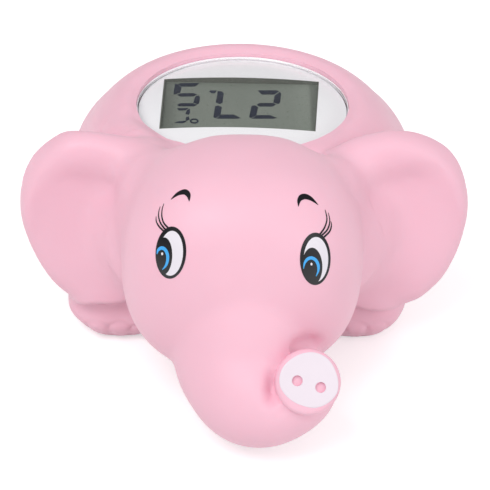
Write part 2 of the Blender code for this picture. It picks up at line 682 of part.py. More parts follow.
def make_board(pod, metal, steel):
    bm = bmesh.new()
    rod(bm, BOARD_RADIUS, BOARD_BOTTOM, BOARD_TOP, steps=ROUND)
    board = add_object("circuit_board", bm, pod, material("green board", (0.05, 0.25, 0.10), 0.5))
    bm = bmesh.new()
    for turn in BOSS_ANGLES:
        drill(bm, BOSS_RADIUS + RUN, BOARD_BOTTOM - 1 * MM, BOARD_TOP + 1 * MM, polar(BOSS_CIRCLE, turn), MIDDLING)
    for place in POSTS:
        drill(bm, BOARD_SHANK + RUN, BOARD_BOTTOM - 1 * MM, BOARD_TOP + 1 * MM, place)
    combine(board, add_cutter("board_holes", bm, pod), "DIFFERENCE")
    for number, place in enumerate(POSTS, 1):
        bm = bmesh.new()
        lathe(bm, [
            (0.0, BOARD_TOP + CLEAR + BOARD_BITE), (BOARD_SHANK, BOARD_TOP + CLEAR + BOARD_BITE),
            (BOARD_SHANK, UNDER_BOARD), (BOARD_HEAD, UNDER_BOARD), (BOARD_HEAD, UNDER_BOARD - BOARD_SHANK),
            (0.0, UNDER_BOARD - BOARD_SHANK)], SMALL, place)
        add_object("board_screw_%d" % number, bm, pod, steel)

    bm = bmesh.new()
    dome = []
    for k in range(5):
        swing = math.pi / 2 * k / 4
        dome.append((CHIP_RADIUS * math.cos(swing), UNDER_BOARD - CHIP_HEIGHT * math.sin(swing)))
    dome[-1] = (0.0, UNDER_BOARD - CHIP_HEIGHT)
    lathe(bm, [(0.0, UNDER_BOARD)] + dome, 16)
    add_object("chip_blob", bm, pod, material("black epoxy", (0.03, 0.03, 0.035), 0.4))
    bm = bmesh.new()
    lying = Matrix.Translation((*CRYSTAL_AT, UNDER_BOARD - CRYSTAL_RADIUS)) @ Matrix.Rotation(math.pi / 2, 4, "X")
    bmesh.ops.create_cone(
        bm, cap_ends=True, segments=SMALL, radius1=CRYSTAL_RADIUS, radius2=CRYSTAL_RADIUS,
        depth=CRYSTAL_LENGTH, matrix=lying)
    add_object("clock_crystal", bm, pod, metal)
    ceramic = material("tan ceramic", (0.55, 0.42, 0.30), 0.5)
    for number in (1, 2):
        bm = bmesh.new()
        y = CAPACITOR_AT.y - (number - 1) * CAPACITOR_PITCH
        slab(bm, CAPACITOR, (CAPACITOR_AT.x, y, UNDER_BOARD - CAPACITOR.z / 2))
        add_object("capacitor_%d" % number, bm, pod, ceramic, smooth=False)


def make_lower_case(pod, shell, steel):
    inner = CASE_RADIUS - CASE_WALL
    bm = bmesh.new()
    lathe(bm, [
        (0.0, ROOF_TOP), (WELL_RADIUS + WELL_WALL, ROOF_TOP), (WELL_RADIUS + WELL_WALL, FLOOR_TOP),
        (inner, FLOOR_TOP), (inner, LOWER_EDGE), (CASE_RADIUS, LOWER_EDGE), (CASE_RADIUS, FLOOR_BOTTOM),
        (NECK_RADIUS, FLOOR_BOTTOM), (NECK_RADIUS, BASE), (WELL_RADIUS, BASE), (WELL_RADIUS, WELL_TOP),
        (0.0, WELL_TOP)], ROUND)
    case = add_object("lower_case", bm, pod, shell)
    bm = bmesh.new()
    for turn in BOSS_ANGLES:
        rod(bm, BOSS_RADIUS, FLOOR_BOTTOM + FLOOR_THICK / 2, UPPER_EDGE - CLEAR, polar(BOSS_CIRCLE, turn), MIDDLING)
    combine(case, add_cutter("lower_bosses", bm, pod), "UNION")

    bm = bmesh.new()
    head_seat = FLOOR_BOTTOM + HEAD_SINK
    for turn in BOSS_ANGLES:
        place = polar(BOSS_CIRCLE, turn)
        below = FLOOR_BOTTOM - 1 * MM
        lathe(bm, [
            (0.0, 0.0), (CASE_SHANK + RUN, 0.0), (CASE_SHANK + RUN, head_seat), (CASE_HEAD + RUN, head_seat),
            (CASE_HEAD + RUN, below), (0.0, below)], SMALL, place, CUT_PHASE)
    stud_places = [polar(SENSOR_CIRCLE, -math.pi / 2 + side * STUD_ANGLE) for side in (-1, 1)]
    sensor_place = polar(SENSOR_CIRCLE, -math.pi / 2)
    drill(bm, SENSOR_RADIUS + RUN, BASE - 1 * MM, FLOOR_TOP + 1 * MM, sensor_place)
    for place in stud_places:
        drill(bm, STUD_SHANK + RUN, BASE - 1 * MM, FLOOR_TOP + 1 * MM, place)
    drill(bm, STEM_RADIUS + RUN, WELL_TOP - 0.2 * MM, ROOF_TOP + 1 * MM)
    tab_x = CELL_RADIUS + CLEAR + LEAF_THICK / 2
    slot_z = (WELL_TOP + ROOF_TOP) / 2
    slab(bm, (LEAF_THICK + 2 * CLEAR, PLUS_NECK + 2 * CLEAR, 3 * WELL_WALL), (tab_x, 0.0, slot_z))
    combine(case, add_cutter("lower_holes", bm, pod), "DIFFERENCE")
    bm = bmesh.new()
    prism(bm, lugged_disc(DOOR_RADIUS + RUN, LUG_RADIUS + RUN, LUG_CIRCLE), BASE - 1 * MM, RECESS_TOP)
    combine(case, add_cutter("door_recess", bm, pod), "DIFFERENCE")
    bm = bmesh.new()
    for side in (-1, 1):
        drill(bm, DOOR_SHANK + RUN, BASE - 1 * MM, RECESS_TOP + DOOR_BITE + CLEAR, (side * LUG_CIRCLE, 0.0))
    combine(case, add_cutter("door_screw_holes", bm, pod), "DIFFERENCE")

    for number, turn in enumerate(BOSS_ANGLES, 1):
        bm = bmesh.new()
        seat = head_seat - CLEAR
        tip = UPPER_EDGE + CASE_BITE
        lathe(bm, [
            (0.0, tip), (CASE_SHANK, tip), (CASE_SHANK, seat), (CASE_HEAD, seat),
            (CASE_HEAD, seat - HEAD_HEIGHT), (0.0, seat - HEAD_HEIGHT)], SMALL, polar(BOSS_CIRCLE, turn))
        add_object("case_screw_%d" % number, bm, pod, steel)
    bm = bmesh.new()
    middle = CASE_RADIUS - CASE_WALL / 2
    washer(bm, middle - GASKET_WIDTH / 2, middle + GASKET_WIDTH / 2, GASKET_BOTTOM, GASKET_TOP, steps=ROUND)
    add_object("case_gasket", bm, pod, material("black rubber", (0.03, 0.03, 0.03), 0.75))
    return stud_places, sensor_place


def make_battery(pod, shell, metal, steel):
    bm = bmesh.new()
    lathe(bm, [
        (0.0, CELL_TOP), (CELL_RADIUS * 0.9, CELL_TOP), (CELL_RADIUS * 0.9, CELL_TOP - 0.3 * MM),
        (CELL_RADIUS, CELL_TOP - 0.3 * MM), (CELL_RADIUS, CELL_BOTTOM), (0.0, CELL_BOTTOM)], ROUND)
    add_object("coin_cell", bm, pod, material("cell steel", (0.62, 0.62, 0.60), 0.28, 1.0))
    bm = bmesh.new()
    lathe(bm, [
        (0.0, STEM_TOP), (STEM_RADIUS, STEM_TOP), (STEM_RADIUS, LEAF_TOP), (4.5 * STEM_RADIUS, LEAF_TOP),
        (4.5 * STEM_RADIUS, LEAF_BOTTOM), (0.0, LEAF_BOTTOM)], SMALL)
    add_object("contact_minus", bm, pod, metal)
    # the positive leaf stands beside the cell, and its narrow neck passes the roof's slot
    tab_x = CELL_RADIUS + CLEAR
    half = PLUS_WIDTH / 2
    neck = PLUS_NECK / 2
    outline = [
        (-half, CELL_BOTTOM), (half, CELL_BOTTOM), (half, LEAF_TOP), (neck, LEAF_TOP),
        (neck, STEM_TOP), (-neck, STEM_TOP), (-neck, LEAF_TOP), (-half, LEAF_TOP)]
    bm = bmesh.new()
    prism(bm, outline, 0.0, LEAF_THICK)
    upright = Matrix(((0, 0, 1, tab_x), (1, 0, 0, 0), (0, 1, 0, 0), (0, 0, 0, 1)))
    bmesh.ops.transform(bm, matrix=upright, verts=bm.verts)
    add_object("contact_plus", bm, pod, metal, smooth=False)

    bm = bmesh.new()
    prism(bm, lugged_disc(DOOR_RADIUS, LUG_RADIUS, LUG_CIRCLE), BASE, DOOR_TOP)
    door = add_object("battery_door", bm, pod, shell)
    bm = bmesh.new()
    for side in (-1, 1):
        seat = BASE + DOOR_HEAD_HEIGHT + CLEAR
        lathe(bm, [
            (0.0, DOOR_TOP + 1 * MM), (DOOR_SHANK + RUN, DOOR_TOP + 1 * MM), (DOOR_SHANK + RUN, seat),
            (DOOR_HEAD + RUN, seat), (DOOR_HEAD + RUN, BASE - 1 * MM), (0.0, BASE - 1 * MM)],
            SMALL, (side * LUG_CIRCLE, 0.0), CUT_PHASE)
    combine(door, add_cutter("door_holes", bm, pod), "DIFFERENCE")
    for number, side in enumerate((-1, 1), 1):
        bm = bmesh.new()
        top = RECESS_TOP + DOOR_BITE
        seat = BASE + DOOR_HEAD_HEIGHT
        lathe(bm, [
            (0.0, top), (DOOR_SHANK, top), (DOOR_SHANK, seat), (DOOR_HEAD, seat), (DOOR_HEAD, BASE),
            (0.0, BASE)], SMALL, (side * LUG_CIRCLE, 0.0))
        add_object("door_screw_%d" % number, bm, pod, steel)
    bm = bmesh.new()
    inner = WELL_RADIUS + RUN
    washer(bm, inner, inner + SEAL_WIDTH, SEAL_BOTTOM, SEAL_TOP, steps=ROUND)
    add_object("door_seal", bm, pod, material("seal rubber", (0.05, 0.05, 0.05), 0.8))


def make_sensor(pod, stud_places, place, steel, copper):
    low = BASE - SENSOR_PROUD
    flange_low = FLOOR_TOP + CLEAR
    flange_high = flange_low + WASHER_THICK
    bore = SENSOR_RADIUS - SENSOR_WALL
    floor = low + SENSOR_WALL
    bm = bmesh.new()
    lathe(bm, [
        (bore, flange_high), (SENSOR_FLANGE, flange_high), (SENSOR_FLANGE, flange_low),
        (SENSOR_RADIUS, flange_low), (SENSOR_RADIUS, low + SENSOR_RADIUS * 0.5),
        (SENSOR_RADIUS * 0.5, low), (0.0, low), (0.0, floor), (bore * 0.5, floor), (bore, floor + bore * 0.5)],
        SMALL, place)
    add_object("sensor_cap", bm, pod, steel)
    bead = Vector((*place, floor + CLEAR + BEAD_RADIUS))
    bm = bmesh.new()
    bmesh.ops.create_uvsphere(bm, u_segments=SMALL, v_segments=8, radius=BEAD_RADIUS, matrix=Matrix.Translation(bead))
    add_object("thermistor_bead", bm, pod, material("bead glass", (0.35, 0.10, 0.05), 0.2))
    for number, side in enumerate((-1, 1), 1):
        x = place.x + side * LEAD_SPREAD
        rise = bead.z + math.sqrt(BEAD_RADIUS ** 2 - LEAD_SPREAD ** 2) + CLEAR
        out = side * WIRE_SWAY / 2
        end = place.y + 2 * WIRE_SWAY
        points = [(x, place.y, rise), (x, place.y, flange_high), (x + out / 2, place.y + WIRE_SWAY / 2, WIRE_HALFWAY)]
        points += [(x + out, end, UNDER_BOARD - WIRE_RISE), (x + out, end, UNDER_BOARD)]
        wire("thermistor_lead_%d" % number, points, LEAD_RADIUS, pod, copper)

    rubber = material("washer rubber", (0.04, 0.04, 0.04), 0.8)
    for number, (side, spot) in enumerate(zip((-1, 1), stud_places), 1):
        bm = bmesh.new()
        head_high = BASE - CLEAR
        lathe(bm, [
            (0.0, STUD_TOP), (STUD_SHANK, STUD_TOP), (STUD_SHANK, head_high), (STUD_HEAD, head_high),
            (STUD_HEAD * 0.8, head_high - STUD_HEAD_HEIGHT), (0.0, head_high - STUD_HEAD_HEIGHT)], SMALL, spot)
        add_object("contact_stud_%d" % number, bm, pod, steel)
        bm = bmesh.new()
        washer(bm, STUD_SHANK + RUN, WASHER_RADIUS, FLOOR_TOP + CLEAR, FLOOR_TOP + CLEAR + WASHER_THICK, spot)
        add_object("stud_washer_%d" % number, bm, pod, rubber)
        top = STUD_TOP + CLEAR
        end = spot.y + WIRE_SWAY / 2
        points = [(*spot, top), (*spot, top + WIRE_RISE), (spot.x + side * WIRE_SWAY, spot.y + WIRE_SWAY, WIRE_HALFWAY)]
        points += [(spot.x, end, UNDER_BOARD - WIRE_RISE), (spot.x, end, UNDER_BOARD)]
        wire("stud_wire_%d" % number, points, WIRE_RADIUS, pod, material("wire %d" % number, (0.9, 0.9, 0.88), 0.5))


def make_power_wires(pod):
    top = STEM_TOP + CLEAR
    plus_x = CELL_RADIUS + CLEAR + LEAF_THICK / 2
    red = material("red insulation", (0.55, 0.03, 0.03), 0.45)
    black = material("black insulation", (0.02, 0.02, 0.02), 0.45)
    bend = (plus_x + WIRE_SWAY, 2 * WIRE_SWAY, WIRE_HALFWAY)
    end = (plus_x + WIRE_SWAY / 2, 4 * WIRE_SWAY)
    points = [(plus_x, 0.0, top), (plus_x, 0.0, top + WIRE_RISE), bend]
    points += [(*end, UNDER_BOARD - WIRE_RISE), (*end, UNDER_BOARD)]
    wire("wire_plus", points, WIRE_RADIUS, pod, red)
    bend = (-2 * WIRE_SWAY, 2.5 * WIRE_SWAY, WIRE_HALFWAY)
    end = (-3 * WIRE_SWAY, 4.5 * WIRE_SWAY)
    points = [(0.0, 0.0, top), (0.0, 0.0, top + WIRE_RISE), bend]
    points += [(*end, UNDER_BOARD - WIRE_RISE), (*end, UNDER_BOARD)]
    wire("wire_minus", points, WIRE_RADIUS, pod, black)


def main():
    clear_scene()
    root = bpy.data.objects.new("elephant", None)
    bpy.context.scene.collection.objects.link(root)
    pod = bpy.data.objects.new("pod", None)
    bpy.context.scene.collection.objects.link(pod)
    pod.parent = root
    pod.location = PANEL_CENTRE
    pod.rotation_euler = (-PANEL_TILT, 0.0, 0.0)
    bpy.context.view_layer.update()

    shell = material("white casing", (0.80, 0.80, 0.82), 0.45)
    steel = material("stainless steel", (0.60, 0.60, 0.60), 0.30, 1.0)
    brass = material("nickelled brass", (0.66, 0.62, 0.52), 0.35, 1.0)
    copper = material("tinned copper", (0.70, 0.68, 0.66), 0.40, 1.0)
    make_display(pod)
    make_upper_case(pod, shell)
    make_board(pod, brass, steel)
    stud_places, sensor_place = make_lower_case(pod, shell, steel)
    make_battery(pod, shell, brass, steel)
    make_sensor(pod, stud_places, sensor_place, steel, copper)
    make_power_wires(pod)
    centre_on_origin(root, make_skin(root, pod))


main()
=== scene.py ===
import bisect
import math

import bmesh
import bpy
import numpy as np
from mathutils import Matrix, Vector
from mathutils.bvhtree import BVHTree


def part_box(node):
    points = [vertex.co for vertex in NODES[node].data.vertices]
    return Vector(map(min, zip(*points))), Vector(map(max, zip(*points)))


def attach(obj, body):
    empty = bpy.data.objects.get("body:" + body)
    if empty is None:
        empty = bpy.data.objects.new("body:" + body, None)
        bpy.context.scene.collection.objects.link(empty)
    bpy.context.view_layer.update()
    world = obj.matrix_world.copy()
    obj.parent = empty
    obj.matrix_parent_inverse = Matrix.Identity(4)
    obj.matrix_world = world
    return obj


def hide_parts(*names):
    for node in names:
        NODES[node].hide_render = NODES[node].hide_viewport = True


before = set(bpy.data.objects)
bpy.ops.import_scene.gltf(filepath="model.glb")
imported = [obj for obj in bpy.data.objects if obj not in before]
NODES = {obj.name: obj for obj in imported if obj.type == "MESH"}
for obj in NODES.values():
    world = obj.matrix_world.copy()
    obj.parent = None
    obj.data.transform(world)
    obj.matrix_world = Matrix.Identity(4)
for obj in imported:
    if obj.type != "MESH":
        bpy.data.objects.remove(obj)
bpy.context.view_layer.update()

MM = 0.001

# Forms of the elephant, from the part's source, here and there a little finer
CLEAR = 0.3 * MM
RUN = 0.3 * MM
SKIN_WALL = 2.2 * MM
RIM_ROUND = 2.0 * MM
RIM_PROUD = 1.8 * MM
SLEEVE_WALL = 2.0 * MM
PANEL_CENTRE = Vector((-0.4, 20.9, 41.0)) * MM
PANEL_TILT = math.radians(5)
BODY_OFFSET = Vector((0.2, -3.3, -17.0)) * MM
BODY_RADII = Vector((37.8, 41.0, 20.2)) * MM
BODY_FULLNESS = 2.4
HEAD_CENTRE = Vector((-1.0, -22.0, 32.6)) * MM
HEAD_RADII = Vector((25.3, 21.5, 24.6)) * MM
HEAD_FULLNESS = 2.5
HEAD_SETBACK = 0.6 * MM
HEAD_SETBACK_LOW = -6 * MM
FOOT_RADII = Vector((11.0, 10.5, 11.0)) * MM
FOOT_RISE = 10.0 * MM
FOOT_FULLNESS = 2.6
FRONT_FOOT = Vector((25.5, -1.5)) * MM
REAR_FOOT = Vector((23.5, 38.0)) * MM
STANCE_SHIFT = -1.2 * MM
TRUNK_LINE = [
    (-0.8, -30.0, 34.0, 13.0), (-0.6, -32.0, 28.5, 13.8), (-0.6, -34.0, 22.8, 15.0),
    (-0.6, -36.6, 18.0, 14.8), (-0.3, -40.0, 15.9, 13.5), (1.0, -43.7, 14.1, 12.1),
    (3.8, -45.6, 13.9, 11.0), (8.0, -45.8, 14.5, 9.4), (11.0, -45.8, 15.6, 7.8), (12.6, -46.0, 16.9, 6.3)]
SNOUT_CENTRE = Vector((13.0, -52.6, 22.5)) * MM
SNOUT_FACE = Vector((0.10, -0.78, 0.62))
SNOUT_RADIUS = 6.8 * MM
SNOUT_DEPTH = 9.0 * MM
SNOUT_EDGE = 0.9 * MM
SNOUT_TAPER = 0.3 * MM
SNOUT_NUDGE = Vector((-0.55, 0.0, 0.22)) * MM     # the shown disc's place beside the solid's
SHOWN_SNOUT = 6.8 * MM
SHOWN_EDGE = 1.3 * MM
PRINT_OFFSET = Vector((0.05, 0.35)) * MM
PRINT_TOP = 0.12 * MM
PRINT_SIDE = 0.05 * MM
PRINT_ROOT = -0.2 * MM
PRINT_OUTLINE = [
    (-6.1, 0.6), (-5.6, -1.8), (-3.8, -3.9), (-1.4, -5.2), (1.1, -5.7), (3.6, -4.9), (5.5, -3.1),
    (6.0, -0.7), (5.5, 1.8), (4.3, 4.0), (2.2, 5.4), (-0.1, 5.7), (-2.6, 5.0), (-5.0, 3.2)]
NOSTRIL_RADIUS = 1.25 * MM
NOSTRIL_DEPTH = 0.6 * MM
NOSTRIL_SPACING = 5.0 * MM
NOSTRIL_ROLL = math.radians(-20)
EAR_OUTLINE = [
    (19.6, 2.0), (18.6, 9.5), (15.4, 15.0), (9.5, 18.9), (2.5, 20.3), (-6.0, 19.0),
    (-15.0, 13.0), (-18.0, 1.0), (-15.0, -13.0), (-4.0, -19.8), (5.0, -20.3),
    (11.6, -17.0), (16.1, -10.8), (18.7, -4.0)]
EAR_CENTRE = Vector((28.8, -4.0, 29.0)) * MM
EAR_LEAN = math.radians(12)
EAR_SWEEP = math.radians(8)
EAR_TWIST = math.radians(4.0)
EAR_HALF = 4.0 * MM
EAR_SQUARENESS = 0.8
EAR_DISH = 3.6 * MM
DISH_SPOT = ((-4.0, 3.0), (11.0, 9.5))      # middle and reach, in mm
EAR_LOBE = 1.4 * MM
LOBE_SPOT = ((2.0, -12.0), (9.0, 6.0))
ROLL_LINE = [
    (-12.0, 9.5, 5.0), (-5.5, 13.6, 4.8), (2.0, 15.6, 4.3), (8.5, 14.7, 3.8),
    (13.2, 11.0, 3.2), (15.9, 5.8, 2.7), (16.9, 0.5, 2.1), (16.2, -5.0, 1.2)]
ROLL_FORWARD = 1.6 * MM
# Fills the hollow between ear and head. The first value is the distance out from the head's middle.
EAR_ROOT = [
    (20.0, -9.5, 43.0, 4.4), (21.3, -11.5, 39.5, 5.6), (21.3, -12.3, 35.0, 5.3), (21.0, -12.5, 31.0, 3.8)]
# Fills out the shoulders below the rim
RIM_SKIRT = [(0.0, 1.75), (1.5, 1.45), (3.2, 0.5), (5.2, -1.1), (7.4, -3.6), (9.2, -7.0)]
TAIL_LINE = [
    (0.0, 26.4, -1.0, 1.6), (0.0, 29.8, -3.4, 1.9), (0.0, 33.2, -6.4, 1.9), (0.0, 36.4, -10.5, 1.8),
    (0.3, 38.2, -15.0, 1.6), (0.9, 38.7, -19.0, 1.5), (1.2, 38.5, -22.0, 2.3), (1.4, 37.8, -25.0, 1.3)]

# Display and pod levels, as in the part's source
LENS_RADIUS = 22.8 * MM
LENS_THICK = 1.4 * MM
LENS_RISE = 1.3 * MM
LENS_INDEX = 1.49
FILM_THICK = 0.3 * MM
COLLAR_HEIGHT = 0.8 * MM
LCD_THICK = 2.2 * MM
WINDOW_OFFSET = Vector((-0.3, 1.2)) * MM
CASE_RADIUS = 25.2 * MM
NECK_RADIUS = 17.6 * MM
POD_DEPTH = 37.2 * MM
NECK_DROP = 2.5 * MM
SHOULDER = -LENS_THICK - FILM_THICK - 2 * CLEAR - COLLAR_HEIGHT
FILM_TOP = -LENS_THICK - CLEAR
LCD_TOP = FILM_TOP - FILM_THICK - CLEAR
SHEET = LCD_TOP + 0.12 * MM      # top of the polariser sheet
PANEL_DRIFT = 1.2                # pixels from the photograph's panel to the solid's
WINDOW_CORNERS = [(163.4, 79.2), (158.3, 128.5), (314.1, 131.1), (317.5, 81.9)]
FLOOR_BOTTOM = -POD_DEPTH + NECK_DROP
BORE_RADIUS = LENS_RADIUS + RUN
RIM_RADIUS = BORE_RADIUS + RIM_ROUND
SLEEVE_RADIUS = CASE_RADIUS + RUN
BORE_TOP = 30 * MM
BORE_BOTTOM = -60 * MM
GROUND_WIDTH = 0.3
GROUND_DEPTH = 40 * MM

# Fineness of the shown skin
VOXEL = 0.55 * MM
SOFTEN = 50
BLEND = 420

POD_FORMS = Matrix.Translation(PANEL_CENTRE) @ Matrix.Rotation(-PANEL_TILT, 4, "X")

# The forms are drawn round the middle of the ears, and the part stands with its middle on the origin
glass_low, glass_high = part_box("lcd_cell")
SHIFT = (glass_low + glass_high) / 2 - POD_FORMS @ Vector((*WINDOW_OFFSET, LCD_TOP - LCD_THICK / 2))
POD = Matrix.Translation(SHIFT) @ POD_FORMS

# Camera of the photograph: a pixel of it is a ray
WIDE = 490
FOCUS = 3700.0
CAMERA_TURN = math.radians(-1.5)
CAMERA_RISE = math.radians(36.0)
CAMERA_ROLL = math.radians(1.2)
CAMERA_REACH = 0.8
CAMERA_TARGET = Vector((0.2, 0.0, 19.0)) * MM + SHIFT


def camera_axes():
    back = Vector((
        math.sin(CAMERA_TURN) * math.cos(CAMERA_RISE), -math.cos(CAMERA_TURN) * math.cos(CAMERA_RISE),
        math.sin(CAMERA_RISE)))
    level = Vector((math.cos(CAMERA_TURN), math.sin(CAMERA_TURN), 0.0))
    upright = back.cross(level)
    right = math.cos(CAMERA_ROLL) * level + math.sin(CAMERA_ROLL) * upright
    up = -math.sin(CAMERA_ROLL) * level + math.cos(CAMERA_ROLL) * upright
    return right, up, back, CAMERA_TARGET + back * CAMERA_REACH


RIGHT, UP, BACK, EYE = camera_axes()


def ray(x, y):
    """Direction from the camera through a pixel of the photograph."""
    return (RIGHT * (x - WIDE / 2) / FOCUS + UP * (WIDE / 2 - y) / FOCUS - BACK).normalized()


# Helpers: objects

def link(name, mesh, smooth=True):
    thing = bpy.data.objects.new(name, mesh)
    bpy.context.scene.collection.objects.link(thing)
    if smooth:
        mesh.shade_smooth()
    return thing


def from_bmesh(name, bm, smooth=True):
    bmesh.ops.recalc_face_normals(bm, faces=bm.faces)
    mesh = bpy.data.meshes.new(name)
    bm.to_mesh(mesh)
    bm.free()
    return link(name, mesh, smooth)


def settled(thing, name):
    """The mesh with its modifiers applied, as a new object in place of the old one."""
    bpy.context.view_layer.update()
    mesh = bpy.data.meshes.new_from_object(thing.evaluated_get(bpy.context.evaluated_depsgraph_get()))
    mesh.name = name
    bpy.data.objects.remove(thing)
    return link(name, mesh)


def carve(thing, bm, operation):
    cutter = from_bmesh("cutter", bm, smooth=False)
    cutter.hide_render = True
    step = thing.modifiers.new("Carve", "BOOLEAN")
    step.operation = operation
    step.solver = "MANIFOLD"
    step.object = cutter
    done = settled(thing, thing.name)
    bpy.data.objects.remove(cutter)
    return done


def bridge(bm, first, second, closed=True):
    """Faces between two rows of points. A row of one point is a tip."""
    steps = max(len(first), len(second))
    for k in range(steps if closed else steps - 1):
        follow = (k + 1) % steps
        corners = [first[k % len(first)], second[k % len(second)]]
        corners += [second[follow % len(second)], first[follow % len(first)]]
        bm.faces.new(list(dict.fromkeys(corners)))


def lathe(bm, profile, steps):
    """A closed profile of (radius, height) points, turned round the z axis."""
    rings = []
    for radius, height in profile:
        turns = [math.tau * (k + 0.5) / steps for k in range(steps)] if radius > 1e-7 else [0.0]
        spots = [(radius * math.cos(turn), radius * math.sin(turn), height) for turn in turns]
        rings.append([bm.verts.new(spot) for spot in spots])
    for first, second in zip(rings, rings[1:] + rings[:1]):
        if len(first) + len(second) > 2:
            bridge(bm, first, second)
    return [vert for ring in rings for vert in ring]


def ball(bm, segments, rings, radius=1.0):
    profile = []
    for k in range(rings + 1):
        swing = math.pi * k / rings
        profile.append((radius * abs(math.sin(swing)) if 0 < k < rings else 0.0, radius * math.cos(swing)))
    return lathe(bm, profile, segments)


# The elephant's forms, as in the part's source

def superellipsoid(bm, centre, radii, fullness, turn=None, segments=96, rings=60):
    power = 2.0 / fullness
    verts = ball(bm, segments, rings)
    for vert in verts:
        x, y, z = vert.co
        flat = math.hypot(x, y)
        around = (x / flat, y / flat) if flat > 1e-9 else (0.0, 0.0)
        wide = flat ** power
        local = Vector((
            math.copysign(abs(around[0]) ** power, x) * wide * radii[0],
            math.copysign(abs(around[1]) ** power, y) * wide * radii[1],
            math.copysign(abs(z) ** power, z) * radii[2]))
        vert.co = centre + (turn @ local if turn else local)
    return verts


def curve_spot(p0, p1, p2, p3, t):
    """A point of the smooth curve from p1 to p2."""
    spot = 2 * p1 + (p2 - p0) * t + (2 * p0 - 5 * p1 + 4 * p2 - p3) * t ** 2
    return 0.5 * (spot + (3 * p1 - p0 - 3 * p2 + p3) * t ** 3)


def smooth_path(points, steps):
    path = []
    last = len(points) - 1
    for k in range(last):
        around = [Vector(points[place]) for place in (max(k - 1, 0), k, k + 1, min(k + 2, last))]
        path += [curve_spot(*around, s / steps) for s in range(steps)]
    return path + [Vector(points[-1])]


def ball_chain(bm, points, steps, frame_matrix=None):
    for spot in smooth_path([[value * MM for value in point] for point in points], steps):
        centre = frame_matrix @ spot.xyz if frame_matrix else spot.xyz
        for vert in ball(bm, 40, 26, max(spot.w, 0.3 * MM)):
            vert.co += centre


def polar_outline(points, samples=720):
    """Direction and reach of points all round a smooth closed outline, sorted by direction."""
    table = []
    count = len(points)
    for k in range(samples):
        place = k * count / samples
        start = int(place)
        around = [Vector(points[(start + step) % count]) for step in (-1, 0, 1, 2)]
        spot = curve_spot(*around, place - start)
        table.append((math.atan2(spot.y, spot.x), spot.length))
    return sorted(table)


def reach_at(table, turn):
    place = bisect.bisect(table, (turn, 0.0)) % len(table)
    (turn_a, reach_a), (turn_b, reach_b) = table[place - 1], table[place]
    span = (turn_b - turn_a) % math.tau
    share = ((turn - turn_a) % math.tau) / span if span > 1e-9 else 0.0
    return reach_a + (reach_b - reach_a) * min(share, 1.0)


def ear_frame(side):
    across = Vector((side * math.cos(EAR_SWEEP), math.sin(EAR_SWEEP), 0.0))
    upward = Vector((0.0, math.sin(EAR_LEAN), math.cos(EAR_LEAN)))
    forward = across.cross(upward) * side
    forward.normalize()
    upward = forward.cross(across) * side
    turn = Matrix((across, upward, forward)).transposed().to_4x4()
    middle = Vector((side * EAR_CENTRE.x, EAR_CENTRE.y, EAR_CENTRE.z))
    return Matrix.Translation(middle) @ turn @ Matrix.Rotation(side * EAR_TWIST, 4, "Z")


def mound(u, w, middle, reach):
    """Height from 0 to 1 of a soft round hill on the ear."""
    return math.exp(-((u / MM - middle[0]) / reach[0]) ** 2 - ((w / MM - middle[1]) / reach[1]) ** 2)


def ear(bm, side):
    placed = ear_frame(side)
    table = polar_outline(EAR_OUTLINE)
    for vert in ball(bm, 160, 90):
        x, y, z = vert.co
        turn = math.atan2(y, x)
        reach = reach_at(table, turn) * MM * math.hypot(x, y) ** EAR_SQUARENESS
        u = reach * math.cos(turn)
        w = reach * math.sin(turn)
        lift = math.copysign(abs(z) ** EAR_SQUARENESS, z) * EAR_HALF
        if z > 0:
            share = min(z * 2.0, 1.0)
            lift += share * (EAR_LOBE * mound(u, w, *LOBE_SPOT) - EAR_DISH * mound(u, w, *DISH_SPOT))
        vert.co = placed @ Vector((u, w, lift))
    ball_chain(bm, [(u, w, ROLL_FORWARD / MM, radius) for u, w, radius in ROLL_LINE], 9, placed)


def head(bm):
    """The head, pushed back where it would reach over the rim."""
    verts = superellipsoid(bm, HEAD_CENTRE, HEAD_RADII, HEAD_FULLNESS, segments=128, rings=80)
    limit = RIM_RADIUS + RIM_ROUND + HEAD_SETBACK
    to_pod = POD_FORMS.inverted()
    for vert in verts:
        spot = to_pod @ vert.co
        reach = math.hypot(spot.x, spot.y)
        if reach < limit and spot.z > HEAD_SETBACK_LOW:
            push = limit / reach
            vert.co = POD_FORMS @ Vector((spot.x * push, spot.y * push, spot.z))


def snout_frame():
    outward = SNOUT_FACE.normalized()
    across = Vector((0, 0, 1)).cross(outward).normalized()
    turn = Matrix((across, outward.cross(across), outward)).transposed().to_4x4()
    return Matrix.Translation(SNOUT_CENTRE + SNOUT_NUDGE + SHIFT) @ turn


SNOUT = snout_frame()


def collar():
    """The sleeve round the pod, its rounded rim and the skirt that runs down from the rim."""
    bm = bmesh.new()
    outer = SLEEVE_RADIUS + SLEEVE_WALL
    base = -POD_DEPTH
    lathe(bm, [
        (0.0, -RIM_ROUND), (outer, -RIM_ROUND), (outer, base + SKIN_WALL), (outer - SKIN_WALL, base),
        (0.0, base)], 128)
    circle = []
    for k in range(32):
        swing = -math.tau * k / 32
        height = RIM_PROUD - RIM_ROUND + RIM_ROUND * math.sin(swing)
        circle.append((RIM_RADIUS + RIM_ROUND * math.cos(swing), height))
    lathe(bm, circle, 160)
    skirt = [(RIM_RADIUS + out * MM, height * MM) for out, height in RIM_SKIRT]
    lathe(bm, skirt + [(RIM_RADIUS, skirt[-1][1])], 160)
    bmesh.ops.recalc_face_normals(bm, faces=bm.faces)
    bmesh.ops.transform(bm, matrix=POD_FORMS, verts=bm.verts)
    made = bpy.data.meshes.new("collar")
    bm.to_mesh(made)
    bm.free()
    return made


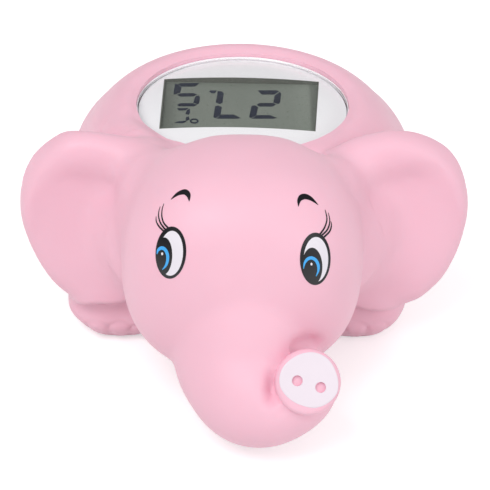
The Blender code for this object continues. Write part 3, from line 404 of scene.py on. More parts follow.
def forms():
    """All the forms that are fused into the skin, each a closed shape of its own."""
    bm = bmesh.new()
    superellipsoid(bm, POD_FORMS @ BODY_OFFSET, BODY_RADII, BODY_FULLNESS, POD_FORMS.to_3x3())
    head(bm)
    ball_chain(bm, TRUNK_LINE, 10)
    radius = SNOUT_RADIUS - SNOUT_EDGE - SNOUT_TAPER
    placed = Matrix.Translation(-SHIFT) @ SNOUT
    bmesh.ops.create_cone(
        bm, cap_ends=True, segments=64, radius1=radius, radius2=radius, depth=SNOUT_DEPTH,
        matrix=placed @ Matrix.Translation((0, 0, -SNOUT_EDGE - SNOUT_DEPTH / 2)))
    for side in (-1, 1):
        ear(bm, side)
        ball_chain(bm, [(HEAD_CENTRE.x / MM + side * x, y, z, radius) for x, y, z, radius in EAR_ROOT], 6)
        for place in (FRONT_FOOT, REAR_FOOT):
            centre = Vector((side * place.x + STANCE_SHIFT, place.y, FOOT_RISE))
            superellipsoid(bm, centre, FOOT_RADII, FOOT_FULLNESS)
    joined = collar()
    bm.from_mesh(joined)
    bpy.data.meshes.remove(joined)
    ball_chain(bm, TAIL_LINE, 8, POD_FORMS)
    bmesh.ops.translate(bm, vec=SHIFT, verts=bm.verts)
    return bm


# Small shapes moulded into the skin

def vectors_of(mesh, field):
    """Each vertex's place, or the skin's direction there."""
    flat = np.zeros(len(mesh.vertices) * 3)
    mesh.vertices.foreach_get(field, flat)
    return flat.reshape(-1, 3)


def bell(distance, width):
    return np.exp(-(distance / width) ** 2)


def tapered(along, end):
    """Strength of a line, which fades toward both ends."""
    return np.sin(np.pi * np.clip(along, end, 1 - end)) ** 0.7


def distance_to(spots, line):
    """Distance of each point from a broken line, and how far along it the nearest place is."""
    best = np.full(len(spots), 1e9)
    along = np.zeros(len(spots))
    count = len(line) - 1
    for k in range(count):
        start, end = np.array(line[k]), np.array(line[k + 1])
        span = end - start
        share = np.clip(((spots - start) @ span) / (span @ span), 0, 1)
        away = np.linalg.norm(spots - start - share[:, None] * span, axis=1)
        nearer = away < best
        best = np.where(nearer, away, best)
        along = np.where(nearer, (k + share) / count, along)
    return best, along


# Sizes of what is moulded into the skin are in mm
EAR_FOLDS = [      # each with its line in the ear's axes, its depth and its width
    ([(-14.0, 4.0), (-8.0, 6.5), (-1.0, 8.5), (6.0, 9.0)], 0.22, 2.0),
    ([(-14.5, 0.0), (-8.0, 0.5), (-1.0, 1.0), (6.0, 1.5)], 0.22, 2.0),
    ([(-14.0, -5.0), (-8.0, -6.5), (-2.0, -8.0), (4.0, -9.0)], 0.20, 2.2)]
NAILS = [(-62.0, 2.7), (-90.0, 2.9), (-118.0, 2.7)]     # direction round the foot in degrees, half width
NAIL_LEVEL = 2.6              # height of each nail's middle
NAIL_REACH = 10.5             # distance out from the foot's middle
NAIL_RISE = 0.14
NAIL_GROOVE = 0.30
GROOVE_OUT = 1.10             # place and width of the groove round a nail, as shares of the nail
GROOVE_WIDTH = 0.17
FOOT_REACH = 13.0             # what is further out is not the foot
FOOT_SWELL = 0.8              # fills out the front feet's outer sides
SWELL_LEVEL = 5.5
SWELL_HEIGHT = 2.6
LOBE_START = (8.0, 13.0)      # how far under the ear's middle its lobe starts
LOBE_SWELL = 0.7
LOBE_TRIM = {-1: 2.3, 1: 0.4}     # how far the undercut reaches in under each lobe
UNDERCUT = 2.6                # how far the leg stands behind the ear's lower edge
UNDERCUT_RUN = 1.5            # where it is deepest, and how slowly it fades
UNDERCUT_FADE = 4.5
TOP_LIFT = 1.1                # the left ear's upper edge rides higher than the right's
TOP_DIRECTION = 78.0          # where round the ear, and how far to both sides, in degrees
TOP_SPREAD = 26.0
JOIN_WIDTH = 6.5              # of the smoothed band along a join
DISH_SOFTNESS = 0.4           # how much of the smoothing the ear's dish gets

# Lines on the skin, as pixels of the photograph
SOFT_JOINS = [
    [(186, 152), (163, 153), (146, 163), (134, 181), (127, 203)],
    [(298, 152), (320, 154), (338, 165), (350, 183), (356, 205)],
    [(104, 131), (124, 132), (144, 139), (168, 149)],
    [(104, 171), (117, 180), (118, 200), (121, 226), (124, 250)],
    [(380, 176), (369, 184), (370, 200), (369, 222), (367, 245)]]
PRESSES = [      # each with its depth, or its height where that is below zero, and its width in mm
    ([(275, 366), (273.5, 378), (273, 390), (274, 400), (278, 409)], 3.0, 1.8),
    ([(290, 352), (300, 347), (311, 345.5), (321, 346.5)], 2.2, 1.9),
    ([(104, 125), (124, 128), (142, 134), (158, 141)], -1.2, 4.2),
    ([(122, 134), (140, 141), (154, 147), (172, 152)], -1.1, 3.8),
    ([(138, 111), (143, 119), (152, 127), (165, 136), (181, 143)], 1.2, 2.2),
    ([(158, 150), (143, 162), (131, 180), (125, 203)], -1.3, 4.2),
    ([(320, 151), (338, 163), (351, 181), (357, 203)], -1.1, 4.2)]


def skin_at(tree, x, y):
    """Place and direction of the skin that shows at a pixel."""
    place, normal, _, _ = tree.ray_cast(EYE, ray(x, y))
    if place is None:
        raise RuntimeError("no skin shows at %.1f, %.1f" % (x, y))
    return place, normal


def on_skin(tree, pixels):
    """Points of the skin, in mm, that show at the given pixels."""
    return [skin_at(tree, x, y)[0] / MM for x, y in pixels]


def ear_space(spots, normals, side):
    """Places and directions in one ear's axes, in mm."""
    placed = np.array((Matrix.Translation(SHIFT) @ ear_frame(side)).inverted())
    return (spots @ placed[:3, :3].T + placed[:3, 3]) / MM, normals @ placed[:3, :3].T


def ramp(value, low, high):
    share = np.clip((value - low) / (high - low), 0, 1)
    return share * share * (3 - 2 * share)


def beyond_edge(local):
    """How far each place lies outside the ear's outline, and its direction from the ear's middle."""
    angles, reaches = np.array(polar_outline(EAR_OUTLINE)).T
    turn = np.arctan2(local[:, 1], local[:, 0])
    return np.hypot(local[:, 0], local[:, 1]) - np.interp(turn, angles, reaches, period=math.tau), turn


def softness(mesh, tree):
    """How much each vertex gives way where ear, head and shoulder run into each other."""
    spots, normals = vectors_of(mesh, "co"), vectors_of(mesh, "normal")
    weight = np.zeros(len(spots))
    for pixels in SOFT_JOINS:
        away, along = distance_to(spots / MM, on_skin(tree, pixels))
        weight = np.maximum(weight, np.exp(-(away / JOIN_WIDTH) ** 4) * ramp(1.12 - along, 0.0, 0.4))
    for side in (-1, 1):
        local, facing = ear_space(spots, normals, side)
        dish = ramp(-beyond_edge(local)[0], 3.0, 7.0) * ramp(facing[:, 2], 0.2, 0.6)
        weight = np.maximum(weight, DISH_SOFTNESS * dish * (np.abs(local[:, 2]) < 9.0))
    return weight


def mould_ear(side, spots, normals, push, slide):
    """Folds in the dish, a fuller lobe over the leg, and the left ear's higher upper edge."""
    local, facing = ear_space(spots, normals, side)
    u, w, lift = local.T
    axes = np.array(ear_frame(side))[:3, :3]
    near = (lift > -1.0) & (lift < 8.0) & (facing[:, 2] > 0.2)
    for line, depth, width in EAR_FOLDS:
        away, along = distance_to(local[:, :2], line)
        push -= near * depth * bell(away, width) * tapered(along, 0.02)
    beyond, turn = beyond_edge(local)
    lower = ramp(-w, *LOBE_START)
    beyond += LOBE_TRIM[side] * ramp(9.0 - u, 0.0, 7.0) * lower
    low = lower * ramp(u, -17.0, -13.0) * ramp(10.5 - u, 0.0, 4.0)
    low *= ramp(facing[:, 2], -0.1, 0.4) * ramp(9.0 - lift, 0.0, 3.0)
    past = np.maximum(beyond - UNDERCUT_RUN, 0)
    back = UNDERCUT * ramp(beyond, 0.0, UNDERCUT_RUN) * bell(past, UNDERCUT_FADE)
    swell = LOBE_SWELL * bell(np.minimum(beyond + 1.0, 0), 4.0) * ramp(-beyond, -0.4, 0.6)
    slide += np.outer(low * (swell - back), axes[:, 2])
    if side < 0:
        high = bell(np.degrees(turn) - TOP_DIRECTION, TOP_SPREAD) * ramp(beyond, -9.0, -1.0)
        slide += np.outer(TOP_LIFT * high * (np.abs(lift) < 8.0) * (beyond < 3.0), axes[:, 1])


def mould_foot(side, place, spots, push):
    """Toenails, and the front feet's fuller outer sides."""
    centre = np.array((side * place.x + STANCE_SHIFT + SHIFT.x, place.y + SHIFT.y, 0.0)) / MM
    across, ahead, height = (spots / MM - centre).T
    reach = np.hypot(across, ahead)
    turn = np.degrees(np.arctan2(ahead, across))
    if place == FRONT_FOOT:
        outer = ramp(side * across / np.maximum(reach, 1.0), 0.1, 0.8) * (reach < FOOT_REACH)
        push += FOOT_SWELL * outer * bell(height - SWELL_LEVEL, SWELL_HEIGHT)
    low = (reach < FOOT_REACH) & (height < 9.0) & (height > 0.2)
    rise = height - NAIL_LEVEL
    for direction, half in NAILS:
        sideways = np.radians(turn - direction) * NAIL_REACH
        out = np.hypot(sideways / half, np.where(rise > 0, rise / (half * 1.05), rise / 6.0))
        push += low * NAIL_RISE * np.clip(1.25 - out ** 2, 0, 1) * (out < 1.12)
        push -= low * NAIL_GROOVE * bell(out - GROOVE_OUT, GROOVE_WIDTH) * (rise > -2.0)


def mould(mesh, tree):
    """Ear folds, undercut ear lobes, toenails and creases, pressed into the skin."""
    spots, normals = vectors_of(mesh, "co"), vectors_of(mesh, "normal")
    push = np.zeros(len(spots))
    slide = np.zeros((len(spots), 3))
    for side in (-1, 1):
        mould_ear(side, spots, normals, push, slide)
        for place in (FRONT_FOOT, REAR_FOOT):
            mould_foot(side, place, spots, push)
    for pixels, depth, width in PRESSES:
        away, along = distance_to(spots / MM, on_skin(tree, pixels))
        push -= depth * bell(away, width) * tapered(along, 0.03)
    spots += (normals * push[:, None] + slide) * MM
    spots[:, 2] = np.maximum(spots[:, 2], -1.0 * MM)
    mesh.vertices.foreach_set("co", spots.ravel())
    mesh.update()


def rays_on(thing):
    return BVHTree.FromObject(thing, bpy.context.evaluated_depsgraph_get())


def add_smooth(thing, iterations, group=""):
    step = thing.modifiers.new("Soften", "SMOOTH")
    step.factor = 0.5
    step.iterations = iterations
    step.vertex_group = group


def pod_bore():
    """Room for the pod, open at the top and at the neck."""
    bm = bmesh.new()
    neck = NECK_RADIUS + RUN
    step, end = SHOULDER + CLEAR, FLOOR_BOTTOM - CLEAR
    lathe(bm, [
        (0.0, BORE_TOP), (BORE_RADIUS, BORE_TOP), (BORE_RADIUS, step), (SLEEVE_RADIUS, step),
        (SLEEVE_RADIUS, end), (neck, end), (neck, BORE_BOTTOM), (0.0, BORE_BOTTOM)], 128)
    bmesh.ops.transform(bm, matrix=POD, verts=bm.verts)
    return bm


def snout_disc():
    """The snout's end, with a rounded edge."""
    bm = bmesh.new()
    profile = [(0.0, 0.0)]
    for k in range(9):
        swing = math.pi / 2 * k / 8
        out = SHOWN_SNOUT - SHOWN_EDGE + SHOWN_EDGE * math.sin(swing)
        profile.append((out, -SHOWN_EDGE + SHOWN_EDGE * math.cos(swing)))
    lathe(bm, profile + [(SHOWN_SNOUT - SNOUT_TAPER, -SNOUT_DEPTH), (0.0, -SNOUT_DEPTH)], 96)
    bmesh.ops.transform(bm, matrix=SNOUT, verts=bm.verts)
    return bm


def below_ground():
    bm = bmesh.new()
    size = Matrix.Diagonal((GROUND_WIDTH, GROUND_WIDTH, GROUND_DEPTH, 1))
    bmesh.ops.create_cube(bm, size=1.0, matrix=Matrix.Translation((0, 0, -GROUND_DEPTH / 2)) @ size)
    return bm


def make_skin():
    raw = from_bmesh("raw", forms())
    fuse = raw.modifiers.new("Fuse", "REMESH")
    fuse.mode = "VOXEL"
    fuse.voxel_size = VOXEL
    fuse.use_smooth_shade = True
    add_smooth(raw, SOFTEN)
    skin = settled(raw, "elephant_body")
    group = skin.vertex_groups.new(name="soft")
    for index, weight in enumerate(softness(skin.data, rays_on(skin))):
        if weight > 0.01:
            group.add([index], float(weight), "REPLACE")
    add_smooth(skin, BLEND, "soft")
    skin = settled(skin, "elephant_body")
    mould(skin.data, rays_on(skin))
    skin = carve(skin, pod_bore(), "DIFFERENCE")
    skin = carve(skin, snout_disc(), "UNION")
    skin = carve(skin, below_ground(), "DIFFERENCE")
    skin = carve(skin, nostrils(), "DIFFERENCE")
    skin.data.set_sharp_from_angle(angle=math.radians(40))
    return skin


def nostrils(grow=0.0):
    """The two holes' room, wider by grow."""
    bm = bmesh.new()
    for side in (-1, 1):
        place = Vector((math.cos(NOSTRIL_ROLL), math.sin(NOSTRIL_ROLL))) * side * NOSTRIL_SPACING / 2
        radius = NOSTRIL_RADIUS + grow
        bmesh.ops.create_cone(
            bm, cap_ends=True, segments=32, radius1=radius * 0.85, radius2=radius, depth=2 * NOSTRIL_DEPTH,
            matrix=SNOUT @ Matrix.Translation((place.x, place.y - NOSTRIL_RADIUS / 3, 0)))
    return bm


# Printed pieces: thin closed sheets laid on the skin where the photograph shows them

SHEET_ROOT = 0.15 * MM       # how deep a printed piece reaches into the skin


def grow_sheet(name, rows, tree, lift, closed):
    """A thin solid sheet from rows of pixels. closed joins each row's ends."""
    bm = bmesh.new()
    top, bottom = [], []
    for row in rows:
        spots = [skin_at(tree, x, y) for x, y in row]
        top.append([bm.verts.new(place + normal * lift) for place, normal in spots])
        bottom.append([bm.verts.new(place - normal * SHEET_ROOT) for place, normal in spots])
    for level in (top, bottom):
        for first, second in zip(level, level[1:]):
            bridge(bm, first, second, closed)
    edges = [(top[-1], bottom[-1])]
    if not closed:
        edges.append((top[0], bottom[0]))
        edges += [([row[end] for row in top], [row[end] for row in bottom]) for end in (0, -1)]
    for upper, lower in edges:
        bridge(bm, upper, lower, closed)
    sheet = from_bmesh(name, bm)
    sheet.data.set_sharp_from_angle(angle=math.radians(50))
    return sheet


def oval(centre, radii, lean, rings=9, sides=56):
    """Rows of pixels of a leaning oval, from its middle out."""
    rows = [[centre]]
    for ring in range(1, rings + 1):
        row = []
        for k in range(sides):
            turn = math.tau * k / sides
            across = radii[0] * math.cos(turn) * ring / rings
            down = radii[1] * math.sin(turn) * ring / rings
            row.append((
                centre[0] + across * math.cos(lean) - down * math.sin(lean),
                centre[1] + across * math.sin(lean) + down * math.cos(lean)))
        rows.append(row)
    return rows


def inside_oval(rows, centre, radii, lean):
    """The same rows with every pixel drawn in to stay inside an oval."""
    kept = []
    for row in rows:
        kept.append([])
        for x, y in row:
            dx, dy = x - centre[0], y - centre[1]
            across = dx * math.cos(lean) + dy * math.sin(lean)
            down = -dx * math.sin(lean) + dy * math.cos(lean)
            out = math.hypot(across / radii[0], down / radii[1])
            share = 1.0 / out if out > 1.0 else 1.0
            kept[-1].append((centre[0] + dx * share, centre[1] + dy * share))
    return kept


def stroke(points, steps=8, across=5):
    """Rows of pixels of a stroke through (x, y, width) points."""
    path = smooth_path(points, steps)
    rows = []
    for k, spot in enumerate(path):
        ahead = path[min(k + 1, len(path) - 1)]
        behind = path[max(k - 1, 0)]
        run = Vector((ahead.x - behind.x, ahead.y - behind.y)).normalized()
        side = Vector((-run.y, run.x)) * max(spot.z, 0.25) / 2
        shares = [2 * j / (across - 1) - 1 for j in range(across)]
        rows.append([(spot.x + side.x * share, spot.y + side.y * share) for share in shares])
    return rows


# Each oval has its centre, its two radii and its lean. Lines have places and widths. All are in pixels.
LEFT_EYE = {
    "oval": ((170.95, 252.6), (15.3, 26.1), math.radians(3.5)),
    "white": ((171.3, 253.2), (11.8, 22.4), math.radians(3.5)),
    "iris": ((164.0, 256.0), (8.4, 18.6), math.radians(2.0)),
    "crescent": [
        (157.3, 254.0, 0.5), (158.6, 250.0, 2.4), (162.0, 247.9, 3.4), (165.4, 249.6, 3.2),
        (167.7, 254.2, 3.0), (167.9, 260.0, 2.8), (166.1, 265.5, 2.2), (162.6, 269.5, 0.5)],
    "glint": (162.5, 253.7),
    "lashes": [
        [(164.6, 231.8, 1.8), (159.4, 226.8, 1.5), (156.4, 221.4, 1.0), (156.2, 216.4, 0.3)],
        [(166.0, 230.3, 1.8), (160.8, 223.4, 1.5), (158.7, 216.4, 1.0), (159.1, 210.6, 0.7),
         (160.4, 206.5, 0.3)],
        [(168.6, 228.2, 1.8), (164.0, 223.2, 1.5), (161.9, 216.4, 1.1), (162.3, 209.0, 0.8),
         (164.0, 203.6, 0.3)]],
    "brow": [
        (171.0, 199.6, 0.3), (174.5, 196.4, 2.0), (179.0, 193.4, 3.6), (184.6, 192.0, 5.3),
        (187.6, 193.8, 5.4), (188.9, 197.0, 3.4), (189.2, 201.4, 0.3)]}
RIGHT_EYE = {
    "oval": ((315.2, 258.8), (15.3, 26.2), math.radians(0.5)),
    "white": ((315.8, 259.4), (12.2, 22.4), math.radians(0.5)),
    "iris": ((312.0, 266.2), (10.1, 18.6), math.radians(-1.0)),
    "crescent": [
        (303.4, 268.5, 0.5), (304.4, 263.0, 2.0), (307.3, 259.0, 3.0), (311.3, 257.8, 3.2),
        (315.4, 260.0, 3.1), (317.9, 264.8, 2.8), (318.0, 270.5, 2.0), (315.8, 276.0, 0.5)],
    "glint": (311.2, 263.9),
    "lashes": [
        [(319.4, 234.8, 1.8), (324.3, 228.0, 1.5), (326.8, 219.8, 1.1), (325.9, 213.1, 0.8),
         (324.9, 209.8, 0.3)],
        [(321.2, 235.8, 1.8), (327.2, 229.7, 1.5), (329.7, 221.4, 1.0), (328.2, 212.7, 0.3)],
        [(323.4, 237.6, 1.8), (329.4, 231.6, 1.5), (331.3, 225.8, 1.0), (330.9, 221.4, 0.3)]],
    "brow": [
        (298.4, 206.6, 0.3), (298.9, 201.0, 3.4), (301.2, 197.6, 5.6), (305.0, 196.6, 5.4),
        (309.8, 198.2, 4.0), (314.0, 201.2, 2.2), (318.2, 205.0, 0.3)]}
GLINT_RADII = (1.0, 1.4)
IRIS_MARGIN = 0.35           # the iris stays this far inside the eye's edge
EDGE_LIFT = 0.05 * MM        # how far each print stands over the skin
LINE_LIFT = 0.06 * MM
WHITE_LIFT = 0.08 * MM
IRIS_LIFT = 0.11 * MM
BLUE_LIFT = 0.14 * MM
GLINT_LIFT = 0.15 * MM


# Materials

def linear(red, green, blue):
    """A colour given in 0 to 255 display values, as a linear colour."""
    made = []
    for value in (red, green, blue):
        value /= 255.0
        made.append(value / 12.92 if value <= 0.04045 else ((value + 0.055) / 1.055) ** 2.4)
    return tuple(made)


def set_values(node, values):
    for socket, value in values.items():
        node.inputs[socket.replace("_", " ")].default_value = value


def add(graph, kind, **values):
    made = graph.nodes.new("ShaderNode" + kind)
    set_values(made, values)
    return made


def noise(graph, place, scale, detail=2.0):
    made = add(graph, "TexNoise", Scale=scale, Detail=detail)
    graph.links.new(place.outputs["Object"], made.inputs["Vector"])
    return made.outputs["Fac"]


def spread(graph, source, low, high, span=(0.3, 0.7)):
    """The source's values in a span, carried over to the values from low to high."""
    made = add(graph, "MapRange", From_Min=span[0], From_Max=span[1], To_Min=low, To_Max=high)
    graph.links.new(source, made.inputs["Value"])
    return made.outputs["Result"]


def combined(graph, operation, first, second):
    """A maths node's result, from two sockets or a socket and a number."""
    made = add(graph, "Math")
    made.operation = operation
    for socket, value in zip(made.inputs, (first, second)):
        if isinstance(value, float):
            socket.default_value = value
        else:
            graph.links.new(value, socket)
    return made.outputs["Value"]


def colour_mix(graph):
    made = add(graph, "Mix")
    made.data_type = "RGBA"
    return made


def finish(name, colour, roughness, cloud=60.0, grain=2500.0, shade=0.05, play=0.06, bump=0.15, depth=0.02,
           **sockets):
    """A surface whose colour clouds softly and whose fine grain varies gloss and relief."""
    made = bpy.data.materials.new(name)
    made.use_nodes = True
    graph = made.node_tree
    shader = graph.nodes["Principled BSDF"]
    set_values(shader, sockets)
    place = add(graph, "TexCoord")
    clouds = noise(graph, place, cloud, 3.0)
    mix = colour_mix(graph)
    mix.inputs["A"].default_value = (*[value * (1 - shade) for value in colour], 1)
    mix.inputs["B"].default_value = (*[min(value * (1 + shade), 1) for value in colour], 1)
    graph.links.new(spread(graph, clouds, 0.0, 1.0), mix.inputs["Factor"])
    graph.links.new(mix.outputs["Result"], shader.inputs["Base Color"])
    fine = noise(graph, place, grain)
    graph.links.new(spread(graph, fine, roughness - play, roughness + play), shader.inputs["Roughness"])
    relief = add(graph, "Bump", Strength=bump, Distance=depth * MM)
    graph.links.new(fine, relief.inputs["Height"])
    graph.links.new(relief.outputs["Normal"], shader.inputs["Normal"])
    return made


def dress(names, material):
    for name in names:
        thing = NODES[name]
        thing.data.materials.clear()
        thing.data.materials.append(material)


def keep_with_root(thing, material):
    thing.data.materials.clear()
    thing.data.materials.append(material)
    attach(thing, "root")
    return thing


# Display

def crown(x, y):
    """Rise of the domed cover and film above their edges."""
    return LENS_RISE * (1 - (x * x + y * y) / LENS_RADIUS ** 2)


def under_cover(x, y, level, domed):
    """Where a pixel's ray, bent by the clear cover, meets a level under it, in the pod's axes."""
    to_pod = POD.inverted()
    start = to_pod @ EYE
    run = to_pod.to_3x3() @ ray(x + PANEL_DRIFT, y)
    flat = Vector((run.x, run.y))
    entry = flat.length / abs(run.z)
    sine = entry / math.hypot(1.0, entry) / LENS_INDEX
    bend = flat.normalized() * LENS_THICK * (entry - sine / math.sqrt(1 - sine * sine))
    height = level
    for _ in range(6):
        spot = start + run * ((height - start.z) / run.z)
        place = spot.xy - bend
        height = level + (crown(place.x, place.y) if domed else 0.0)
    return place


def on_glass(x, y):
    return under_cover(x, y, SHEET, False)


def window_loop(size=1.0, steps=24):
    """Points round the film's window, in the pod's axes, at a size of it."""
    corners = [under_cover(x, y, FILM_TOP, True) for x, y in WINDOW_CORNERS]
    loop = []
    for k in range(4):
        loop += [corners[k].lerp(corners[(k + 1) % 4], step / steps) for step in range(steps)]
    if size == 1.0:
        return loop
    middle = sum(loop, Vector((0.0, 0.0))) / len(loop)
    return [middle + (point - middle) * size for point in loop]


def in_pod(name, bm, smooth=True):
    """A piece that is drawn in the pod's axes."""
    bmesh.ops.transform(bm, matrix=POD, verts=bm.verts)
    made = from_bmesh(name, bm, smooth)
    if smooth:
        made.data.set_sharp_from_angle(angle=math.radians(40))
    return made


def band(name, rings):
    """A closed piece from rings of as many points each, the last joined to the first."""
    bm = bmesh.new()
    made = [[bm.verts.new(point) for point in ring] for ring in rings]
    for first, second in zip(made, made[1:] + made[:1]):
        bridge(bm, first, second)
    return in_pod(name, bm)


def make_cover():
    bm = bmesh.new()
    outer, inner = [], []
    for k in range(25):
        radius = LENS_RADIUS * k / 24
        outer.append((radius, crown(radius, 0)))
        inner.append((radius, crown(radius, 0) - LENS_THICK))
    lathe(bm, outer + inner[::-1], 144)
    return in_pod("display_cover", bm)


def make_film():
    """The white print behind the cover, with the window in it."""
    spokes = [(point, point.normalized() * (LENS_RADIUS - RUN)) for point in window_loop()]
    top, bottom = [], []
    for ring in range(11):
        row = [near.lerp(far, ring / 10) for near, far in spokes]
        top.append([(x, y, FILM_TOP + crown(x, y)) for x, y in row])
        bottom.append([(x, y, FILM_TOP - FILM_THICK + crown(x, y)) for x, y in row])
    return band("display_film", top + bottom[::-1])


EDGE_DROP = 0.05 * MM            # of the print round the cover's side, under the cover's edge
EDGE_SPAN = (0.05 * MM, 0.22 * MM)      # and where it starts and ends, out from the cover
LINER_SIZES = (0.998, 0.984)     # outer and inner size of the window's dark edge, partly a gasket and partly painted shade
LINER_DROP = 0.05 * MM
POLARISER_SIZE = 1.02
INK_GAP = 0.01 * MM              # over the polariser sheet
INK_TOP = 0.05 * MM


def make_edge():
    """The print carried up round the cover's side."""
    low, high = FILM_TOP - FILM_THICK, -EDGE_DROP
    near, far = [LENS_RADIUS + out for out in EDGE_SPAN]
    rows = []
    for radius, height in ((near, low), (near, high), (far, high), (far, low)):
        rows.append([
            (radius * math.cos(turn), radius * math.sin(turn), height + crown(LENS_RADIUS, 0))
            for turn in (math.tau * k / 144 for k in range(144))])
    return band("display_edge", rows)


def make_liner():
    """Dark edge from the film's window down to the display: a liner that stands for a gasket, its grey
    painting the shade under the window's edge.
    """
    outer, inner = [window_loop(size) for size in LINER_SIZES]
    rings = []
    for loop, at_film in ((outer, False), (outer, True), (inner, True), (inner, False)):
        rings.append([
            (x, y, FILM_TOP + crown(x, y) - LINER_DROP if at_film else SHEET + INK_GAP) for x, y in loop])
    return band("window_liner", rings)


def raised(bm, outline, low, high):
    bottom = [bm.verts.new((x, y, low)) for x, y in outline]
    top = [bm.verts.new((x, y, high)) for x, y in outline]
    bm.faces.new(bottom)
    bm.faces.new(top)
    bridge(bm, bottom, top)


def make_sheet():
    """The polariser sheet on the display glass, which the figures show on."""
    bm = bmesh.new()
    raised(bm, window_loop(POLARISER_SIZE), LCD_TOP + 0.02 * MM, SHEET)
    return in_pod("display_polariser", bm, smooth=False)


# The display's bars, as pixels of the photograph
DIGIT_BARS = [
    # the 2
    [(256.3, 90.5), (275.5, 90.5), (277.8, 91.4), (273.0, 94.5), (260.5, 94.5)],
    [(278.6, 92.0), (279.9, 94.0), (278.7, 102.4), (277.0, 104.0), (272.0, 102.4), (273.4, 95.4)],
    [(255.4, 104.7), (258.4, 103.0), (271.6, 103.0), (274.6, 104.6), (271.0, 106.4), (258.0, 106.4)],
    [(250.3, 106.0), (253.6, 105.2), (256.8, 107.2), (255.3, 114.8), (250.0, 117.8), (248.0, 116.8)],
    [(250.4, 118.4), (255.8, 115.0), (268.6, 115.0), (275.4, 117.6), (272.5, 118.4)],
    # the 7
    [(208.0, 91.4), (209.5, 90.6), (215.4, 90.6), (214.2, 93.1), (210.2, 93.1)],
    [(216.6, 91.2), (220.8, 91.6), (222.7, 93.6), (221.4, 102.4), (218.8, 103.8), (214.6, 102.4),
     (216.0, 95.4)],
    [(214.0, 106.4), (217.0, 105.4), (220.8, 107.0), (219.4, 114.8), (214.6, 117.8), (212.3, 117.0)],
    [(215.2, 118.4), (220.2, 114.4), (232.5, 114.4), (239.2, 117.6), (236.8, 118.4)],
    # the 5
    [(177.0, 84.4), (179.0, 83.6), (198.6, 83.2), (194.2, 86.6), (180.4, 86.8)],
    [(174.2, 84.4), (176.0, 84.2), (180.6, 87.6), (179.4, 92.6), (174.0, 94.6), (172.5, 93.6)],
    [(176.0, 94.9), (179.6, 93.4), (192.4, 93.2), (196.2, 94.6), (192.4, 96.4), (179.6, 96.6)],
    [(194.4, 96.4), (197.2, 95.6), (199.0, 97.0), (198.2, 103.0), (196.4, 104.2), (192.2, 102.6)],
    [(176.2, 104.8), (179.4, 103.2), (191.6, 103.2), (196.0, 104.8), (193.0, 106.2), (178.0, 106.2)],
    # the C
    [(176.0, 108.2), (187.6, 107.9), (184.8, 110.2), (178.0, 110.3)],
    [(186.0, 109.9), (188.8, 108.6), (189.1, 112.6), (187.6, 114.6), (184.4, 113.6)],
    [(185.0, 117.0), (187.8, 116.2), (188.7, 119.4), (184.6, 120.9)],
    [(173.6, 122.6), (176.6, 121.2), (184.0, 120.6), (185.6, 121.4), (182.0, 122.9)]]
DEGREE_CENTRE = (193.2, 120.8)
DEGREE_HOLE = (2.7, 1.2)
DEGREE_EDGE = (4.5, 2.5)
DEGREE_SIDES = 28


def degree_loop(radii):
    turns = [math.tau * k / DEGREE_SIDES for k in range(DEGREE_SIDES)]
    return [
        on_glass(DEGREE_CENTRE[0] + radii[0] * math.cos(turn), DEGREE_CENTRE[1] + radii[1] * math.sin(turn))
        for turn in turns]


def make_digits():
    bm = bmesh.new()
    low, high = SHEET + INK_GAP, SHEET + INK_TOP
    for bar in DIGIT_BARS:
        raised(bm, [on_glass(x, y) for x, y in bar], low, high)
    inner, outer = degree_loop(DEGREE_HOLE), degree_loop(DEGREE_EDGE)
    for k in range(DEGREE_SIDES):
        follow = (k + 1) % DEGREE_SIDES
        raised(bm, [outer[k], outer[follow], inner[follow], inner[k]], low, high)
    bmesh.ops.remove_doubles(bm, verts=bm.verts, dist=0.001 * MM)
    return in_pod("display_figures", bm, smooth=False)


# Painted light on the display glass, from its left end to its right: painted shade, darker at both ends
# where the cover's edges shade it, and a painted reflection, a lighter band near the right end
GLASS_ENDS = (-18.0 * MM, 17.4 * MM)
# lets the painted reflection's stops go above 1
GLASS_GAIN = 1.2
PAINTED_GLASS_LIGHT = [
    (0.0, 0.62), (0.06, 0.74), (0.12, 0.98), (0.80, 1.0), (0.85, 1.10), (0.905, 1.16), (0.925, 0.80),
    (1.0, 0.70)]
GLOSS_TINT = 0.1         # keeps the cover's gloss from veiling the display


def glass_finish():
    """Grey-green display glass with painted shade, darker at both ends where its cover's edges shade it, and
    a painted reflection, a lighter band near its right end.
    """
    made = finish("display_glass", linear(122, 129, 120), 0.30, cloud=90.0, grain=1800.0, shade=0.03,
                  play=0.03, bump=0.05)
    graph = made.node_tree
    shader = graph.nodes["Principled BSDF"]
    base = shader.inputs["Base Color"].links[0].from_socket
    split = add(graph, "SeparateXYZ")
    graph.links.new(add(graph, "TexCoord").outputs["Object"], split.inputs["Vector"])
    # painted shade and a painted reflection across the glass
    painted_light = add(graph, "ValToRGB")
    span = [end + SHIFT.x for end in GLASS_ENDS]
    graph.links.new(spread(graph, split.outputs["X"], 0.0, 1.0, span), painted_light.inputs["Fac"])
    stops = painted_light.color_ramp.elements
    while len(stops) < len(PAINTED_GLASS_LIGHT):
        stops.new(0.5)
    for stop, (where, value) in zip(stops, PAINTED_GLASS_LIGHT):
        stop.position = where
        stop.color = (*[value / GLASS_GAIN] * 3, 1)
    multiply = colour_mix(graph)
    multiply.blend_type = "MULTIPLY"
    multiply.inputs["Factor"].default_value = 1.0
    graph.links.new(base, multiply.inputs["A"])
    graph.links.new(painted_light.outputs["Color"], multiply.inputs["B"])
    brighten = add(graph, "VectorMath")
    brighten.operation = "SCALE"
    brighten.inputs["Scale"].default_value = GLASS_GAIN
    graph.links.new(multiply.outputs["Result"], brighten.inputs[0])
    graph.links.new(brighten.outputs["Vector"], shader.inputs["Base Color"])
    return made


